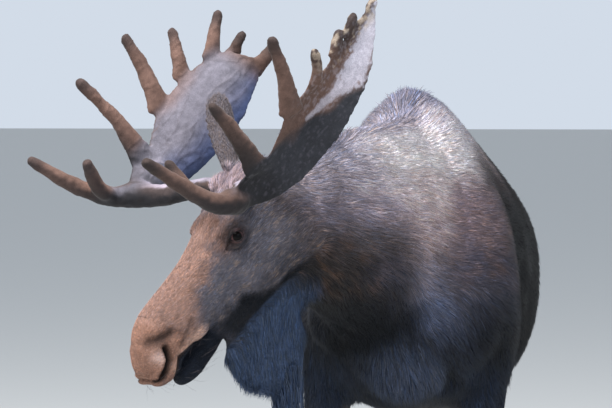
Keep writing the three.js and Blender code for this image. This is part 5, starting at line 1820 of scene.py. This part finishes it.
# %% Grain group
def make_grain_group():
    """Nodes that multiply a colour by one plus or minus the strength, following
    stretched noise, and give the same noise as a height."""
    group = bpy.data.node_groups.new("grain", "ShaderNodeTree")
    for name, kind, value in (("Color", "NodeSocketColor", None), ("Size", "NodeSocketFloat", 300.0),
                              ("Stretch", "NodeSocketVector", None), ("Strength", "NodeSocketFloat", 0.2)):
        socket = group.interface.new_socket(name=name, in_out="INPUT", socket_type=kind)
        if value is not None:
            socket.default_value = value
    group.interface.items_tree["Stretch"].default_value = (1, 1, 1)
    group.interface.new_socket(name="Color", in_out="OUTPUT", socket_type="NodeSocketColor")
    group.interface.new_socket(name="Height", in_out="OUTPUT", socket_type="NodeSocketFloat")
    nodes, links = group.nodes, group.links
    enter, leave = nodes.new("NodeGroupInput"), nodes.new("NodeGroupOutput")
    place = nodes.new("ShaderNodeTexCoord")
    stretch = nodes.new("ShaderNodeVectorMath")
    stretch.operation = "MULTIPLY"
    speck = nodes.new("ShaderNodeTexNoise")
    speck.inputs["Detail"].default_value = 4
    ramp = nodes.new("ShaderNodeMapRange")
    ramp.inputs["From Min"].default_value = 0.25
    ramp.inputs["From Max"].default_value = 0.75
    low = nodes.new("ShaderNodeMath")
    low.operation = "SUBTRACT"
    low.inputs[0].default_value = 1.0
    high = nodes.new("ShaderNodeMath")
    high.operation = "ADD"
    high.inputs[0].default_value = 1.0
    scale = nodes.new("ShaderNodeVectorMath")
    scale.operation = "SCALE"
    links.new(place.outputs["Object"], stretch.inputs[0])
    links.new(enter.outputs["Stretch"], stretch.inputs[1])
    links.new(stretch.outputs[0], speck.inputs["Vector"])
    links.new(enter.outputs["Size"], speck.inputs["Scale"])
    links.new(enter.outputs["Strength"], low.inputs[1])
    links.new(enter.outputs["Strength"], high.inputs[1])
    links.new(speck.outputs["Fac"], ramp.inputs["Value"])
    links.new(low.outputs[0], ramp.inputs["To Min"])
    links.new(high.outputs[0], ramp.inputs["To Max"])
    links.new(enter.outputs["Color"], scale.inputs[0])
    links.new(ramp.outputs["Result"], scale.inputs["Scale"])
    links.new(scale.outputs[0], leave.inputs["Color"])
    links.new(speck.outputs["Fac"], leave.inputs["Height"])
    return group

grain_group = make_grain_group()
print("nodes of the grain group:", len(grain_group.nodes))

# %% Finishes
def finish(name, base, size, stretch, strength, bump, distance, **sockets):
    """A finish whose base is the name of a colour attribute or one fixed colour,
    mottled by the grain group, with the shader's other sockets set to fixed values."""
    material = bpy.data.materials.new(name)
    material.use_nodes = True
    nodes, links = material.node_tree.nodes, material.node_tree.links
    shader = nodes["Principled BSDF"]
    grain = nodes.new("ShaderNodeGroup")
    grain.node_tree = grain_group
    if isinstance(base, str):
        colour = nodes.new("ShaderNodeAttribute")
        colour.attribute_name = base
        links.new(colour.outputs["Color"], grain.inputs["Color"])
    else:
        grain.inputs["Color"].default_value = base
    grain.inputs["Size"].default_value = size
    grain.inputs["Stretch"].default_value = stretch
    grain.inputs["Strength"].default_value = strength
    height = nodes.new("ShaderNodeBump")
    height.inputs["Strength"].default_value = bump
    height.inputs["Distance"].default_value = distance
    links.new(grain.outputs["Color"], shader.inputs["Base Color"])
    links.new(grain.outputs["Height"], height.inputs["Height"])
    links.new(height.outputs["Normal"], shader.inputs["Normal"])
    for key, value in sockets.items():
        shader.inputs[key.replace("_", " ")].default_value = value
    return material

hide_finish = finish("hide", "coat", 420, (1, 1, 1), 0.25, 0.5, 0.002, Roughness=0.85,
                     Specular_IOR_Level=0.15)
hair_finish = finish("hair", "coat", 260, (1, 1, 1), 0.18, 0.1, 0.001, Roughness=0.62,
                     Specular_IOR_Level=0.18)
velvet_finish = finish("antler velvet", "velvet", 380, (1, 1, 1), 0.28, 0.5, 0.0015, Roughness=0.82,
                       Specular_IOR_Level=0.2, Sheen_Weight=0.08, Sheen_Roughness=0.35)
eye_finish = finish("eyeball", "iris", 500, (1, 1, 1), 0.15, 0.0, 0.001, Roughness=0.3,
                    Specular_IOR_Level=0.02, Coat_Weight=0.1, Coat_Roughness=0.02)

HORN = (0.028, 0.022, 0.019, 1)
horn_finish = finish("horn", HORN, 90, (1, 1, 7), 0.45, 0.35, 0.001, Roughness=0.5,
                     Specular_IOR_Level=0.5)

def dress(obj, material):
    """One smooth-shaded material over the whole piece."""
    obj.data.materials.clear()
    obj.data.materials.append(material)
    obj.data.polygons.foreach_set("use_smooth", np.ones(len(obj.data.polygons), bool))
    obj.data.polygons.foreach_set("material_index", np.zeros(len(obj.data.polygons), np.int32))
    obj.data.update()

dress(skin, hide_finish)
for antler in antlers.values():
    dress(antler, velvet_finish)
for foot in feet:
    dress(foot, horn_finish)
for eye in eyes.values():
    dress(eye, eye_finish)
for piece in coat_pieces:
    dress(piece, hair_finish)
print("finishes:", [m.name for m in (hide_finish, hair_finish, velvet_finish, eye_finish, horn_finish)])

# %% [markdown]
# ## Names in the frame
# The hide stands for every solid of flesh. Everything rides on the one body.

# %% Ride and replace
LIMBS = [f"{end}leg_{name}_{part}" for end in SPREAD for name in SIDES for part in ("upper", "lower")]
skin.name = "hide"
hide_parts("head", "neck", "trunk", "bell", "tail", "ear_left", "ear_right", *LIMBS)
for piece in [skin, *antlers.values(), *feet, *eyes.values(), *coat_pieces]:
    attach(piece, "root")
print("pieces riding on the body:", 1 + len(antlers) + len(feet) + len(eyes) + len(coat_pieces))

# %% [markdown]
# ## Floor and light
# A pale floor that runs to the horizon, an even pale sky, one large soft lamp
# above and one to the side.

# %% Stage
FLOOR_REACH = 100.0

def make_floor():
    """One pale square, level with the soles."""
    corners = [[x, y, 0] for x, y in ((-1, -1), (1, -1), (1, 1), (-1, 1))]
    floor = new_object("floor", np.array(corners) * FLOOR_REACH, [[0, 1, 2, 3]])
    material = bpy.data.materials.new("pale floor")
    material.use_nodes = True
    shader = material.node_tree.nodes["Principled BSDF"]
    shader.inputs["Base Color"].default_value = (0.50, 0.50, 0.485, 1)
    shader.inputs["Roughness"].default_value = 0.9
    floor.data.materials.append(material)
    return floor

def make_lamp(name, place, size, power, tint):
    """A round soft lamp that looks at the animal's chest."""
    data = bpy.data.lights.new(name, "AREA")
    data.shape = "DISK"
    data.size = size
    data.energy = power
    data.color = tint
    lamp = bpy.data.objects.new(name, data)
    lamp.location = place
    aim = Vector((0.1, -0.4, 1.3)) - Vector(place)
    lamp.rotation_euler = aim.to_track_quat("-Z", "Y").to_euler()
    bpy.context.scene.collection.objects.link(lamp)
    return lamp

make_floor()
make_lamp("overhead", (-2.0, -4.0, 10.0), 9.0, 3200, (1.0, 0.985, 0.965))
make_lamp("side", (7.5, -9.0, 6.0), 6.0, 420, (0.84, 0.91, 1.0))
world = bpy.data.worlds.new("sky")
bpy.context.scene.world = world
world.use_nodes = True
world.node_tree.nodes["Background"].inputs["Color"].default_value = (0.76, 0.84, 0.95, 1)
world.node_tree.nodes["Background"].inputs["Strength"].default_value = 0.85
bpy.context.scene.view_settings.view_transform = "Standard"
print("floor, two lamps and a sky")
